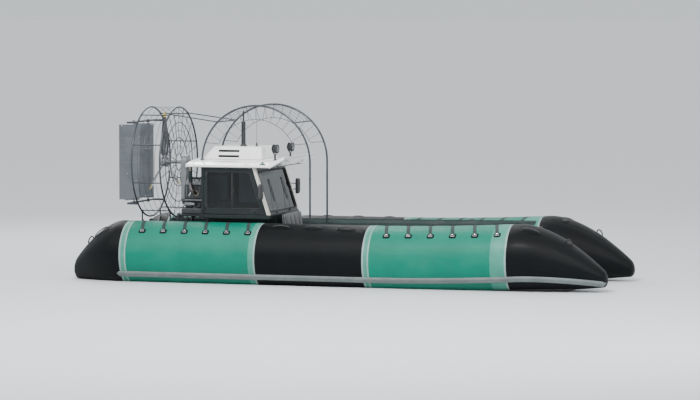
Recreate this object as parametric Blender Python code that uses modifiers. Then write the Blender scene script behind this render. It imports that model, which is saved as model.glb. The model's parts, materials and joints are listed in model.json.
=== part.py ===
"""A catamaran airboat: two long inflatable tubes in green and black bands, an aluminium hull pan
between them, a small cabin, an engine on a tube stand and a caged propeller with two air rudders.

Metres, +X to the bow, +Y to port, +Z up. The origin is on the ground, midway along the boat.
Stations are distances from the stern ends of the tubes.
"""
import math

import bmesh
import bpy
from mathutils import Matrix, Vector

# Overall sizes
BOAT_LENGTH = 8.90
TUBE_DIAMETER = 1.08
TUBE_SPACING = 2.05
TUBE_SIDES = 32
SEAT_GAP = 0.0003
DOOR_GAP = 0.008

# Tube bands, from the stern
STERN_BAND = 0.98
AFT_BAND = 2.27
MID_BAND = 1.82
FORE_BAND = 2.30
CONE_LENGTH = 0.85
CONE_END_RADIUS = 0.14
CONE_KEEL_RISE = 0.115
CONE_POWER = 1.65
ROCKER_START = 5.07
ROCKER_RISE = 0.18
NOSE_START = 7.50
NOSE_END_RADIUS = 0.11
NOSE_POWER = 1.7
NOSE_RINGS = 6
ROCKER_RINGS = 4
CONE_RINGS = 5

# Runners, strakes and lacing on the tubes
RUNNER_THICKNESS = 0.014
RUNNER_FACETS = (-10, -6)
STRAKE_THICKNESS = 0.026
STRAKE_FACET = -3
STRAKE_START = 0.90
STRAP_THICKNESS = 0.010
STRAP_WIDTH = 0.055
STRAP_SLANT = 0.17
STRAP_FACETS = (5, 11)
STRAP_PITCH = 0.36
STRAPS_PER_BAND = 6
RAIL_THICKNESS = 0.022

# Hull pan and deck between the tubes
PAN_START = 0.48
PAN_BOTTOM = 0.08
PAN_TOP = 0.31
PAN_HALF_WIDTH = 0.74
BOW_RISE_START = 6.35
BOW_BOX_START = 7.05
BOW_BOX_TOP = 0.78
BOW_END = 7.95
BOW_LIP_BOTTOM = 0.58
DECK_THICKNESS = 0.016
DECK_HALF_WIDTH = 0.525
DECK_END = 7.0
CARGO_HALF_WIDTH = 0.45
CARGO_THICKNESS = 0.014

# Cabin
CABIN_REAR = 2.10
CABIN_FRONT = 3.27
CABIN_HALF_WIDTH = 0.78
TUB_HALF_WIDTH = 0.47
WALL = 0.03
LEDGE_BOTTOM = 1.135
SILL = 1.195
COWL_TOP = 1.245
ROOF_BOTTOM = 1.96
WINDSCREEN_RAKE = 0.25
GLASS_THICKNESS = 0.006
REAR_WINDOW = (1.10, 0.44)
REAR_WINDOW_BOTTOM = 1.36
DOOR_FRAME = 0.065
DOOR_SILL = 0.09
HINGE_RADIUS = 0.012
HINGE_LENGTH = 0.06
HINGE_OFFSET = 0.016

# Roof
ROOF_START = 1.86
ROOF_END = 3.30
ROOF_HALF_WIDTH = 0.85
ROOF_EDGE = 0.045
ROOF_CROWN = 0.125
VISOR_END = 3.53
VISOR_RISE = 0.17
VISOR_THICKNESS = 0.028
VISOR_HALF_WIDTH = 0.80
POD_START = 1.93
POD_LENGTH = 1.09
POD_WIDTH = 0.84
POD_SLOPES = (0.24, 0.03, 0.06)
POD_TOP = 2.28
VENT_START = 2.26
VENT_LENGTH = 0.36
VENT_HEIGHTS = (2.125, 2.21)
VENT_OPENING = 0.036

# Branch guard: two bent tubes that arch over the cabin from the roof's rear to the foredeck
GUARD_RADIUS = 0.925
GUARD_MIDDLE = 2.93
GUARD_HEIGHT = 2.03
GUARD_OFFSET = 0.463
GUARD_TUBE = 0.016
GUARD_TIE_ANGLES = (45, 90, 135)
GUARD_STAY_ANGLE = 62

# Propeller and cage
PROP_RADIUS = 0.83
PROP_BLADES = 3
PROP_STATION = 1.18
SHAFT_HEIGHT = 2.00
CAGE_RADIUS = 0.905
CAGE_REAR = 0.94
CAGE_FRONT = 1.43
HOOP_RADIUS = 0.015
WIRE_RADIUS = 0.006
CAGE_SPOKES = 12
GRILLE_RINGS = (0.15, 0.44, 0.72)
RING_RADIUS = 0.008
STRINGER_ANGLES = (-60, -20, 20, 60, 120, 160, 200, 240)
STRINGER_RADIUS = 0.010
LEG_OFFSET = 0.42
LEG_RADIUS = 0.0125
FOOT_THICKNESS = 0.012
HUB_RADIUS = 0.085
HUB_LENGTH = 0.11

# Rudders
RUDDER_OFFSET = 0.33
RUDDER_HALF_HEIGHT = 0.62
RUDDER_CHORD = 0.36
RUDDER_THICKNESS = 0.05
RUDDER_STATION = 0.76
BEAM_RADIUS = 0.016
PIN_RADIUS = 0.010
HORN_LENGTH = 0.14
TIE_THICKNESS = 0.008
TIE_PIN_RADIUS = 0.006
BOSS_RADIUS = 0.024
BOSS_HALF_HEIGHT = 0.026

# Engine
ENGINE_START = 1.60
ENGINE_LENGTH = 0.42
ENGINE_WIDTH = 0.44
ENGINE_TOP = 1.72
CRANK_HEIGHT = 1.42
BAR_RADIUS = 0.020
STAND_HALF_WIDTH = 0.34
STAND_START = 1.545
POST_RADIUS = 0.024
STAND_FOOT = 0.056
STAND_END = 2.065
STAND_TOP = 1.14
DRIVE_THICKNESS = 0.09
DRIVE_RADIUS = 0.12
RADIATOR = (0.40, 0.07, 0.46)
RADIATOR_START = 1.60
RADIATOR_OFFSET = 0.46
EXHAUST_RADIUS = 0.032
EXHAUST_TOP = 1.98
TANK = (0.40, 0.54, 0.40)

# Seats, helm and foredeck
SEAT_HEIGHT = 0.36
SEAT_WIDTH = 0.39
SEAT_STATION = 2.20
SEAT_DEPTH = 0.46
SEAT_BACK_HEIGHT = 0.66
WHEEL_RADIUS = 0.165
WHEEL_STATION = 2.86
WHEEL_HEIGHT = 1.03
WHEEL_TILT = 62
HUB_REACH = 0.10
DASH_DEPTH = 0.26
BENCH_START = 3.42
BENCH_DEPTH = 0.52
BENCH_HALF_WIDTH = 0.44
BENCH_HEIGHT = 0.32
BENCH_BACK_TOP = 1.19
CUSHION_THICKNESS = 0.08
LID_THICKNESS = 0.02

# Mirrors, lamps and mast
MIRROR_OFFSET = 0.97
MIRROR_SIZE = (0.05, 0.15, 0.26)
MIRROR_HEIGHT = 1.58
LAMP_RADIUS = 0.075
LAMP_OFFSET = 0.40
LAMP_LIFT = 0.11
MAST_STATION = 2.56
MAST_RADIUS = 0.035
MAST_SHOULDER = 2.68
MAST_TOP = 2.90

COLOURS = {
    # name: (red, green, blue), roughness, metallic
    "green_pvc": ((0.055, 0.42, 0.32), 0.35, 0.0),
    "black_pvc": ((0.012, 0.014, 0.018), 0.4, 0.0),
    "grey_rubber": ((0.42, 0.45, 0.45), 0.6, 0.0),
    "runner_plastic": ((0.02, 0.02, 0.022), 0.5, 0.0),
    "webbing": ((0.015, 0.03, 0.03), 0.8, 0.0),
    "hull_metal": ((0.42, 0.44, 0.45), 0.4, 1.0),
    "deck_metal": ((0.30, 0.31, 0.32), 0.5, 1.0),
    "cabin_dark": ((0.02, 0.035, 0.035), 0.4, 0.0),
    "roof_white": ((0.80, 0.80, 0.77), 0.3, 0.0),
    "glass_tint": ((0.05, 0.07, 0.08), 0.05, 0.0),
    "frame_black": ((0.02, 0.02, 0.025), 0.4, 0.6),
    "cage_metal": ((0.10, 0.11, 0.13), 0.4, 0.8),
    "engine_metal": ((0.28, 0.28, 0.29), 0.45, 0.9),
    "engine_red": ((0.42, 0.04, 0.03), 0.4, 0.0),
    "prop_composite": ((0.03, 0.03, 0.032), 0.35, 0.0),
    "exhaust_steel": ((0.45, 0.42, 0.38), 0.35, 1.0),
    "seat_vinyl": ((0.02, 0.02, 0.022), 0.55, 0.0),
    "seat_shell": ((0.05, 0.05, 0.055), 0.5, 0.0),
    "lamp_glass": ((0.75, 0.77, 0.78), 0.1, 0.0),
    "mirror_black": ((0.012, 0.012, 0.014), 0.4, 0.0),
}


def clear_scene():
    for old in list(bpy.data.objects):
        bpy.data.objects.remove(old)


clear_scene()
parts = bpy.data.collections.new("airboat")
helpers = bpy.data.collections.new("cutters_and_joined_pieces")
bpy.context.scene.collection.children.link(parts)
bpy.context.scene.collection.children.link(helpers)
materials = {}
for slot, (rgb, roughness, metallic) in COLOURS.items():
    material = bpy.data.materials.new(slot)
    material.use_nodes = True
    shader = material.node_tree.nodes["Principled BSDF"]
    shader.inputs["Base Color"].default_value = (*rgb, 1)
    shader.inputs["Roughness"].default_value = roughness
    shader.inputs["Metallic"].default_value = metallic
    material.diffuse_color = (*rgb, 1)
    materials[slot] = material


def at(station):
    """The X of a station, which is measured from the stern."""
    return station - BOAT_LENGTH / 2


# General helpers


def keep(name, bm, slot, origin=(0, 0, 0)):
    """Makes a part from a bmesh whose points are given relative to the origin."""
    mesh = bpy.data.meshes.new(name)
    bmesh.ops.recalc_face_normals(bm, faces=bm.faces)
    bm.to_mesh(mesh)
    bm.free()
    obj = bpy.data.objects.new(name, mesh)
    obj.location = origin
    parts.objects.link(obj)
    obj.data.materials.append(materials[slot])
    return obj


def smooth(obj, angle=35):
    obj.data.shade_smooth()
    obj.data.set_sharp_from_angle(angle=math.radians(angle))
    return obj


def as_helper(obj):
    """Takes an object out of the model and keeps it as a cutter or a joined piece."""
    parts.objects.unlink(obj)
    helpers.objects.link(obj)
    obj.hide_render = True
    obj.display_type = "WIRE"
    return obj


def boolean(obj, other, operation):
    modifier = obj.modifiers.new(f"{operation.lower()}_{other.name}", "BOOLEAN")
    modifier.operation = operation
    modifier.object = other
    return modifier


def cut(obj, *cutters):
    for cutter in cutters:
        boolean(obj, as_helper(cutter), "DIFFERENCE")
    return obj


def fuse(obj, pieces):
    """Joins pieces, each of which reaches into another, to obj as one solid."""
    group = bpy.data.collections.new(f"{obj.name}_pieces")
    helpers.children.link(group)
    for piece in pieces:
        as_helper(piece)
        helpers.objects.unlink(piece)
        group.objects.link(piece)
    modifier = obj.modifiers.new("join_pieces", "BOOLEAN")
    modifier.operation = "UNION"
    modifier.operand_type = "COLLECTION"
    modifier.collection = group
    return obj


def rounded(obj, width, segments=2):
    modifier = obj.modifiers.new("rounded_edges", "BEVEL")
    modifier.width = width
    modifier.segments = segments
    modifier.limit_method = "ANGLE"
    return obj


def box(name, low, high, slot):
    """A box between two corners."""
    low, high = Vector(low), Vector(high)
    bm = bmesh.new()
    bmesh.ops.create_cube(bm, size=1, matrix=Matrix.Diagonal((*(high - low), 1)))
    return keep(name, bm, slot, (low + high) / 2)


def bar(name, start, end, radius, slot, sides=8):
    """A round bar between two points."""
    start, end = Vector(start), Vector(end)
    turn = (end - start).to_track_quat("Z", "Y").to_matrix().to_4x4()
    bm = bmesh.new()
    bmesh.ops.create_cone(
        bm, cap_ends=True, segments=sides, radius1=radius, radius2=radius,
        depth=(end - start).length, matrix=turn,
    )
    return keep(name, bm, slot, (start + end) / 2)


def hoop(name, centre, radius, thickness, slot, around=36, sides=6):
    """A ring in the plane across the boat."""
    bpy.ops.mesh.primitive_torus_add(
        location=centre, rotation=(0, math.pi / 2, 0), major_radius=radius,
        minor_radius=thickness, major_segments=around, minor_segments=sides,
    )
    obj = bpy.context.object
    obj.name = name
    for home in list(obj.users_collection):
        home.objects.unlink(obj)
    parts.objects.link(obj)
    obj.data.materials.append(materials[slot])
    return obj


def plate(name, outline, thickness, slot, matrix, hole=()):
    """A flat outline, with a hole if it is given one, thickened in its own XY plane and placed."""
    curve = bpy.data.curves.new(name, "CURVE")
    curve.dimensions = "2D"
    curve.fill_mode = "BOTH"
    curve.extrude = thickness / 2
    for loop in filter(None, (outline, hole)):
        spline = curve.splines.new("POLY")
        spline.points.add(len(loop) - 1)
        for point, (u, v) in zip(spline.points, loop):
            point.co = (u, v, 0, 1)
        spline.use_cyclic_u = True
    guide = bpy.data.objects.new(f"{name}_outline", curve)
    helpers.objects.link(guide)
    graph = bpy.context.evaluated_depsgraph_get()
    mesh = bpy.data.meshes.new_from_object(guide.evaluated_get(graph))
    bpy.data.objects.remove(guide)
    bm = bmesh.new()
    bm.from_mesh(mesh)
    bpy.data.meshes.remove(mesh)
    bmesh.ops.remove_doubles(bm, verts=bm.verts, dist=0.00005)
    obj = keep(name, bm, slot)
    obj.matrix_basis = matrix
    return obj


def along_x(name, outline, start, end, slot, hole=()):
    """A plate whose outline is (Y, Z) pairs, from one station to another."""
    turn = Matrix(((0, 0, 1, at((start + end) / 2)), (1, 0, 0, 0), (0, 1, 0, 0), (0, 0, 0, 1)))
    return plate(name, outline, end - start, slot, turn, hole)


def along_y(name, outline, middle, thickness, slot, hole=()):
    """A plate whose outline is (station, Z) pairs, at one distance to port."""
    turn = Matrix(((1, 0, 0, at(0)), (0, 0, -1, middle), (0, 1, 0, 0), (0, 0, 0, 1)))
    return plate(name, outline, thickness, slot, turn, hole)


def rectangle(half_width, low, high):
    return [(-half_width, low), (half_width, low), (half_width, high), (-half_width, high)]


def ring_points(sides, radius, centre, first=0.5):
    """The corners of a ring across the boat, with a flat facet at the bottom."""
    x, y, z = centre
    step = 2 * math.pi / sides
    angles = [(k + first) * step for k in range(sides)]
    return [(x, y + radius * math.cos(a), z + radius * math.sin(a)) for a in angles]


def loft(name, rings, slot, origin=(0, 0, 0)):
    """A closed skin through rings that have the same number of corners."""
    bm = bmesh.new()
    rows = [[bm.verts.new(p) for p in ring] for ring in rings]
    for row, following in zip(rows, rows[1:]):
        for i in range(len(row)):
            j = (i + 1) % len(row)
            bm.faces.new((row[i], row[j], following[j], following[i]))
    bm.faces.new(rows[0][::-1])
    bm.faces.new(rows[-1])
    return keep(name, bm, slot, origin)


# Inflatable tubes

TUBE_RADIUS = TUBE_DIAMETER / 2
NOSE_LENGTH = BOAT_LENGTH - NOSE_START
BANDS = {
    # name: (slot, first station, last station)
    "stern": ("black_pvc", 0, STERN_BAND),
    "aft": ("green_pvc", STERN_BAND, STERN_BAND + AFT_BAND),
    "mid": ("black_pvc", STERN_BAND + AFT_BAND, STERN_BAND + AFT_BAND + MID_BAND),
    "fore": ("green_pvc", STERN_BAND + AFT_BAND + MID_BAND, STERN_BAND + AFT_BAND + MID_BAND + FORE_BAND),
    "bow": ("black_pvc", STERN_BAND + AFT_BAND + MID_BAND + FORE_BAND, BOAT_LENGTH),
}


def keel_height(station):
    """The tube's underside, which rises towards the bow."""
    share = max(0, station - ROCKER_START) / (BOAT_LENGTH - ROCKER_START)
    return RUNNER_THICKNESS + ROCKER_RISE * share**2


def tube_section(station):
    """(centre height, radius) of the tube at a station."""
    radius = TUBE_RADIUS
    lift = 0
    if station < CONE_LENGTH:
        share = (1 - station / CONE_LENGTH) ** CONE_POWER
        radius -= (TUBE_RADIUS - CONE_END_RADIUS) * share
        lift = CONE_KEEL_RISE * share
    if station > NOSE_START:
        share = ((station - NOSE_START) / NOSE_LENGTH) ** NOSE_POWER
        radius -= (TUBE_RADIUS - NOSE_END_RADIUS) * share
    return keel_height(station) + lift + radius * math.cos(math.pi / TUBE_SIDES), radius


def between(first, last, count):
    return [first + (last - first) * k / count for k in range(count + 1)]


def ring_stations():
    """Where the tube's rings stand, close together only where its shape changes."""
    cone = between(0, CONE_LENGTH, CONE_RINGS)
    rocker = between(ROCKER_START, NOSE_START, ROCKER_RINGS)
    nose = between(NOSE_START, BOAT_LENGTH, NOSE_RINGS)
    edges = [edge for _, first, last in BANDS.values() for edge in (first, last)]
    found = sorted({round(s, 6) for s in cone + rocker + nose + edges})
    return found


STATIONS = ring_stations()


def tube_ring(station, side, outward=0.0):
    """The corners of the tube's polygon there, straight between its rings, moved outward."""
    before = max(s for s in STATIONS if s <= station + 1e-9)
    after = min(s for s in STATIONS if s >= station - 1e-9)
    share = 0 if after == before else (station - before) / (after - before)
    low, high = tube_section(before), tube_section(after)
    height = low[0] + (high[0] - low[0]) * share
    radius = low[1] + (high[1] - low[1]) * share + outward
    return ring_points(TUBE_SIDES, radius, (at(station), side * TUBE_SPACING / 2, height))


def stations_between(first, last, gap=0.0):
    inner = [s for s in STATIONS if first + gap < s < last - gap]
    return [first + gap, *inner, last - gap]


def tube_solid(name, first, last, side, slot, outward=0.0, gap=SEAT_GAP):
    rings = [tube_ring(s, side, outward) for s in stations_between(first, last, gap)]
    return loft(name, rings, slot)


def tube_cutter(name, first, last, side):
    """The room that a tube takes, for what is shaped to lie against it."""
    return tube_solid(name, first, last, side, "black_pvc", outward=SEAT_GAP, gap=0)


def facet_strip(name, first, last, side, facets, thickness, slot):
    """A strip on the tube that covers the facets named, from the bow round to the stern.

    Facet 0 is level on the outer side, and facets count upward.
    """
    low, high = facets
    rings = []
    for station in stations_between(first, last):
        inner, outer = (tube_ring(station, 1, SEAT_GAP), tube_ring(station, 1, SEAT_GAP + thickness))
        corners = [inner[k] for k in range(low - 1, high + 1)] + [outer[k] for k in range(high, low - 2, -1)]
        shifted = [(x, side * y, z) for x, y, z in corners]
        rings.append(shifted if side > 0 else shifted[::-1])
    return loft(name, rings, slot)


def add_tubes(side, side_name):
    for band, (slot, first, last) in BANDS.items():
        start = 0 if first == 0 else SEAT_GAP
        gap_rings = [first + start, *[s for s in STATIONS if first < s < last]]
        gap_rings.append(last if last == BOAT_LENGTH else last - SEAT_GAP)
        rings = [tube_ring(s, side) for s in gap_rings]
        smooth(loft(f"tube_{side_name}_{band}", rings, slot))
    facet_strip(
        f"strake_{side_name}", STRAKE_START, BOAT_LENGTH - 0.012, side,
        (STRAKE_FACET, STRAKE_FACET), STRAKE_THICKNESS, "grey_rubber",
    )
    facet_strip(
        f"runner_{side_name}", CONE_LENGTH + 0.05, NOSE_START + 0.9, side,
        RUNNER_FACETS, RUNNER_THICKNESS - SEAT_GAP, "runner_plastic",
    )


def strap(name, station, side):
    """A webbing strap that climbs from the tube's outer side to the rail, leaning aft."""
    low, high = STRAP_FACETS
    count = high - low + 1
    half = STRAP_WIDTH / 2
    rings = []
    for k in range(count + 1):
        middle = station + STRAP_SLANT * (0.5 - k / count)
        corner = (low - 1 + k) % TUBE_SIDES
        ring = []
        for edge in (-half, half):
            for outward in (SEAT_GAP, SEAT_GAP + STRAP_THICKNESS):
                x, y, z = tube_ring(middle + edge, 1, outward)[corner]
                ring.append((x, side * y, z))
        rings.append([ring[0], ring[1], ring[3], ring[2]])
    return loft(name, rings, "webbing")


def add_lacing(side, side_name):
    """A rail along the tube's inner shoulder, with the straps that lash it down."""
    green = [BANDS["aft"], BANDS["fore"]]
    rail = facet_strip(
        f"lacing_{side_name}", green[0][1] + 0.05, green[1][2] - 0.05, side,
        (STRAP_FACETS[1], STRAP_FACETS[1]), RAIL_THICKNESS, "webbing",
    )
    straps = []
    for _, first, last in green:
        spare = (last - first) - STRAP_PITCH * (STRAPS_PER_BAND - 1)
        for k in range(STRAPS_PER_BAND):
            station = first + spare / 2 + STRAP_PITCH * k
            straps.append(strap(f"strap_{side_name}_{station:.2f}", station, side))
    return fuse(rail, straps)


# Hull pan and deck

DECK_TOP = PAN_TOP + SEAT_GAP + DECK_THICKNESS
CARGO_START = BENCH_START + BENCH_DEPTH + 0.20


def bow_underside(count):
    """The pan's bottom line from where it starts to rise up to the bow lip."""
    points = []
    for k in range(count + 1):
        share = k / count
        station = BOW_RISE_START + (BOW_END - BOW_RISE_START) * share
        points.append((station, PAN_BOTTOM + (BOW_LIP_BOTTOM - PAN_BOTTOM) * share**1.8))
    return points


def add_hull():
    outline = [(PAN_START, PAN_BOTTOM), *bow_underside(6)]
    outline += [(BOW_END, BOW_BOX_TOP), (BOW_BOX_START, BOW_BOX_TOP)]
    outline += [(BOW_BOX_START - 0.03, PAN_TOP), (PAN_START, PAN_TOP)]
    pan = along_y("hull_pan", outline, 0, 2 * PAN_HALF_WIDTH, "hull_metal")
    cut(pan, *[tube_cutter(f"tube_room_{side}", 0, BOAT_LENGTH - 0.05, side) for side in (-1, 1)])
    box(
        "deck_floor", (at(PAN_START + 0.01), -DECK_HALF_WIDTH, PAN_TOP + SEAT_GAP),
        (at(DECK_END), DECK_HALF_WIDTH, DECK_TOP), "deck_metal",
    )
    box(
        "cargo_deck", (at(CARGO_START), -CARGO_HALF_WIDTH, DECK_TOP + SEAT_GAP),
        (at(DECK_END - 0.06), CARGO_HALF_WIDTH, DECK_TOP + SEAT_GAP + CARGO_THICKNESS), "grey_rubber",
    )


# Cabin

CABIN_FLOOR = DECK_TOP + SEAT_GAP
TUB_FLOOR = CABIN_FLOOR + 0.02


def screen_station(height):
    """Where the front face of the raked windscreen frame is at a height."""
    return CABIN_FRONT - WINDSCREEN_RAKE * (height - SILL) / (ROOF_BOTTOM - SILL)


def add_tub():
    tub = box(
        "cabin_tub", (at(CABIN_REAR), -CABIN_HALF_WIDTH, LEDGE_BOTTOM),
        (at(CABIN_FRONT), CABIN_HALF_WIDTH, SILL), "cabin_dark",
    )
    well = box(
        "tub_well", (at(CABIN_REAR), -TUB_HALF_WIDTH, CABIN_FLOOR),
        (at(CABIN_FRONT), TUB_HALF_WIDTH, SILL - 0.01), "cabin_dark",
    )
    fuse(tub, [well])
    inner = TUB_HALF_WIDTH - WALL
    room = box(
        "tub_room", (at(CABIN_REAR + WALL), -inner, TUB_FLOOR),
        (at(CABIN_FRONT - WALL), inner, SILL + 0.1), "cabin_dark",
    )
    cut(tub, room)
    return tub


def door_axis(side):
    """The upright axis that a door turns about, on the rear wall."""
    rear = CABIN_REAR + WALL + DOOR_GAP
    return at(rear + HINGE_OFFSET), side * (CABIN_HALF_WIDTH + HINGE_RADIUS + 0.002), 0


def hinge_heights():
    return SILL + DOOR_GAP + 0.14, ROOF_BOTTOM - DOOR_GAP - 0.10


def add_rear_wall():
    low = SILL + SEAT_GAP
    high = ROOF_BOTTOM - SEAT_GAP
    width, height = REAR_WINDOW
    wall = along_x(
        "cabin_rear_wall", rectangle(CABIN_HALF_WIDTH, low, high), CABIN_REAR, CABIN_REAR + WALL,
        "cabin_dark", rectangle(width / 2, REAR_WINDOW_BOTTOM, REAR_WINDOW_BOTTOM + height),
    )
    knuckles = []
    for side in (-1, 1):
        x, y, _ = door_axis(side)
        for middle in hinge_heights():
            foot = Vector((x, y, middle - HINGE_LENGTH / 2 - SEAT_GAP))
            name = f"knuckle_{side}_{middle:.2f}"
            knuckles.append(bar(name, foot - Vector((0, 0, HINGE_LENGTH)), foot, HINGE_RADIUS, "cabin_dark"))
            inner, outer = sorted((side * (CABIN_HALF_WIDTH - 0.01), side * (CABIN_HALF_WIDTH + 0.018)))
            knuckles.append(box(
                f"{name}_leaf", (at(CABIN_REAR + 0.004), inner, foot.z - HINGE_LENGTH + 0.006),
                (at(CABIN_REAR + WALL - 0.001), outer, foot.z - 0.006), "cabin_dark",
            ))
            inner, outer = sorted((side * (CABIN_HALF_WIDTH + 0.006), side * (CABIN_HALF_WIDTH + 0.017)))
            knuckles.append(box(
                f"{name}_strap", (at(CABIN_REAR + 0.01), inner, foot.z - HINGE_LENGTH + 0.008),
                (x, outer, foot.z - 0.008), "cabin_dark",
            ))
    fuse(wall, knuckles)
    middle = CABIN_REAR + WALL / 2
    box(
        "rear_window",
        (at(middle - GLASS_THICKNESS / 2), -width / 2 + SEAT_GAP, REAR_WINDOW_BOTTOM + SEAT_GAP),
        (at(middle + GLASS_THICKNESS / 2), width / 2 - SEAT_GAP, REAR_WINDOW_BOTTOM + height - SEAT_GAP),
        "glass_tint",
    )


def raked_slab(name, half_width, low, high, front, back, slot):
    """A slab that leans with the windscreen, between two distances behind its front face."""
    outline = [(screen_station(low) - front, low), (screen_station(high) - front, high)]
    outline += [(screen_station(high) - back, high), (screen_station(low) - back, low)]
    return along_y(name, outline, 0, 2 * half_width, slot)


SCREEN_FRAME = 0.05
SCREEN_EDGE = 0.07


def add_front_frame():
    low = SILL + SEAT_GAP
    high = ROOF_BOTTOM - SEAT_GAP
    frame = raked_slab("cabin_front_frame", CABIN_HALF_WIDTH, low, high, 0, SCREEN_FRAME, "cabin_dark")
    inner = CABIN_HALF_WIDTH - SCREEN_EDGE
    hole = box(
        "windscreen_hole", (at(CABIN_FRONT - 0.5), -inner, COWL_TOP),
        (at(CABIN_FRONT + 0.1), inner, ROOF_BOTTOM - SCREEN_EDGE), "cabin_dark",
    )
    cut(frame, hole)
    depth = (SCREEN_FRAME - GLASS_THICKNESS) / 2
    raked_slab(
        "windscreen", inner - SEAT_GAP, COWL_TOP + SEAT_GAP, ROOF_BOTTOM - SCREEN_EDGE - SEAT_GAP,
        depth, depth + GLASS_THICKNESS, "glass_tint",
    )


def add_door(side, side_name):
    """A door above the tube, hung on the rear wall, with its window."""
    low = SILL + DOOR_GAP
    high = ROOF_BOTTOM - DOOR_GAP
    rear = CABIN_REAR + WALL + DOOR_GAP
    back = SCREEN_FRAME + DOOR_GAP

    def outline(inset, sill=0):
        bottom, top = low + inset + sill, high - inset
        return [
            (rear + inset, bottom), (screen_station(bottom) - back - inset, bottom),
            (screen_station(top) - back - inset, top), (rear + inset, top),
        ]

    middle = side * (CABIN_HALF_WIDTH - WALL / 2)
    axis = door_axis(side)
    door = along_y(f"door_{side_name}", outline(0), middle, WALL, "cabin_dark", outline(DOOR_FRAME, DOOR_SILL - DOOR_FRAME))
    barrels = []
    for height in hinge_heights():
        foot = Vector((axis[0], axis[1] - side * 0.003, height))
        reach = Vector((0, 0, HINGE_LENGTH / 2))
        name = f"hinge_{side_name}_{height:.2f}"
        barrels.append(bar(name, foot - reach, foot + reach, HINGE_RADIUS, "cabin_dark"))
    fuse(door, barrels)
    glass = along_y(
        f"door_window_{side_name}", outline(DOOR_FRAME + SEAT_GAP, DOOR_SILL - DOOR_FRAME), middle, GLASS_THICKNESS, "glass_tint"
    )
    hinge = bpy.data.objects.new(f"door_{side_name}_hinge", None)
    hinge.location = axis
    parts.objects.link(hinge)
    for obj in (door, glass):
        obj.parent = hinge
        obj.matrix_parent_inverse = Matrix.Translation(axis).inverted()


def roof_profile(lift):
    arc = []
    for k in range(13):
        share = 1 - 2 * k / 12
        height = ROOF_EDGE + (ROOF_CROWN - ROOF_EDGE) * (1 - share**2) ** 0.75
        arc.append((share * ROOF_HALF_WIDTH, ROOF_BOTTOM + height + lift))
    return arc


def roof_room(name):
    """The room that the roof takes, for the feet of what stands on it."""
    wide = ROOF_HALF_WIDTH
    base = [(-wide, ROOF_BOTTOM - 0.1), (wide, ROOF_BOTTOM - 0.1)]
    return along_x(name, base + roof_profile(SEAT_GAP), ROOF_START - 0.1, ROOF_END + 0.1, "roof_white")


def pod_ring(share, height):
    """The pod's outline at a height, drawn in by a share of its slopes: aft, front and sides."""
    aft, front, sides = [slope * share for slope in POD_SLOPES]
    near, far = at(POD_START + aft), at(POD_START + POD_LENGTH - front)
    half = POD_WIDTH / 2 - sides
    return [(near, -half, height), (far, -half, height), (far, half, height), (near, half, height)]


def add_roof():
    base = [(-ROOF_HALF_WIDTH, ROOF_BOTTOM), (ROOF_HALF_WIDTH, ROOF_BOTTOM)]
    roof = along_x("cabin_roof", base + roof_profile(0), ROOF_START, ROOF_END, "roof_white")
    low = ROOF_BOTTOM + 0.004
    visor_outline = [
        (ROOF_END - 0.12, low), (ROOF_END - 0.01, low), (VISOR_END, low + VISOR_RISE - VISOR_THICKNESS),
        (VISOR_END, low + VISOR_RISE), (VISOR_END - 0.03, low + VISOR_RISE),
        (ROOF_END - 0.12, low + VISOR_THICKNESS),
    ]
    visor = along_y("roof_visor", visor_outline, 0, 2 * VISOR_HALF_WIDTH, "roof_white")
    fuse(roof, [visor])
    pod = loft("roof_pod", [pod_ring(0, ROOF_BOTTOM + ROOF_EDGE), pod_ring(1, POD_TOP)], "roof_white")
    cut(pod, roof_room("pod_room"))
    rounded(pod, 0.02)
    vents = []
    half = POD_WIDTH / 2
    for height in VENT_HEIGHTS:
        share = (height - ROOF_BOTTOM - ROOF_EDGE) / (POD_TOP - ROOF_BOTTOM - ROOF_EDGE)
        wall = half - POD_SLOPES[2] * share
        for side in (-1, 1):
            inner, outer = sorted((side * (wall - 0.025), side * (half + 0.05)))
            vents.append(box(
                f"vent_{height:.2f}_{side}", (at(VENT_START), inner, height - VENT_OPENING / 2),
                (at(VENT_START + VENT_LENGTH), outer, height + VENT_OPENING / 2), "roof_white",
            ))
    cut(pod, *vents)


# Branch guard


def guard_point(degrees, side):
    """A point on the guard's arch, 0 at the front and 180 at the rear."""
    angle = math.radians(degrees)
    station = GUARD_MIDDLE + GUARD_RADIUS * math.cos(angle)
    return Vector((at(station), side * GUARD_OFFSET, GUARD_HEIGHT + GUARD_RADIUS * math.sin(angle)))


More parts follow.
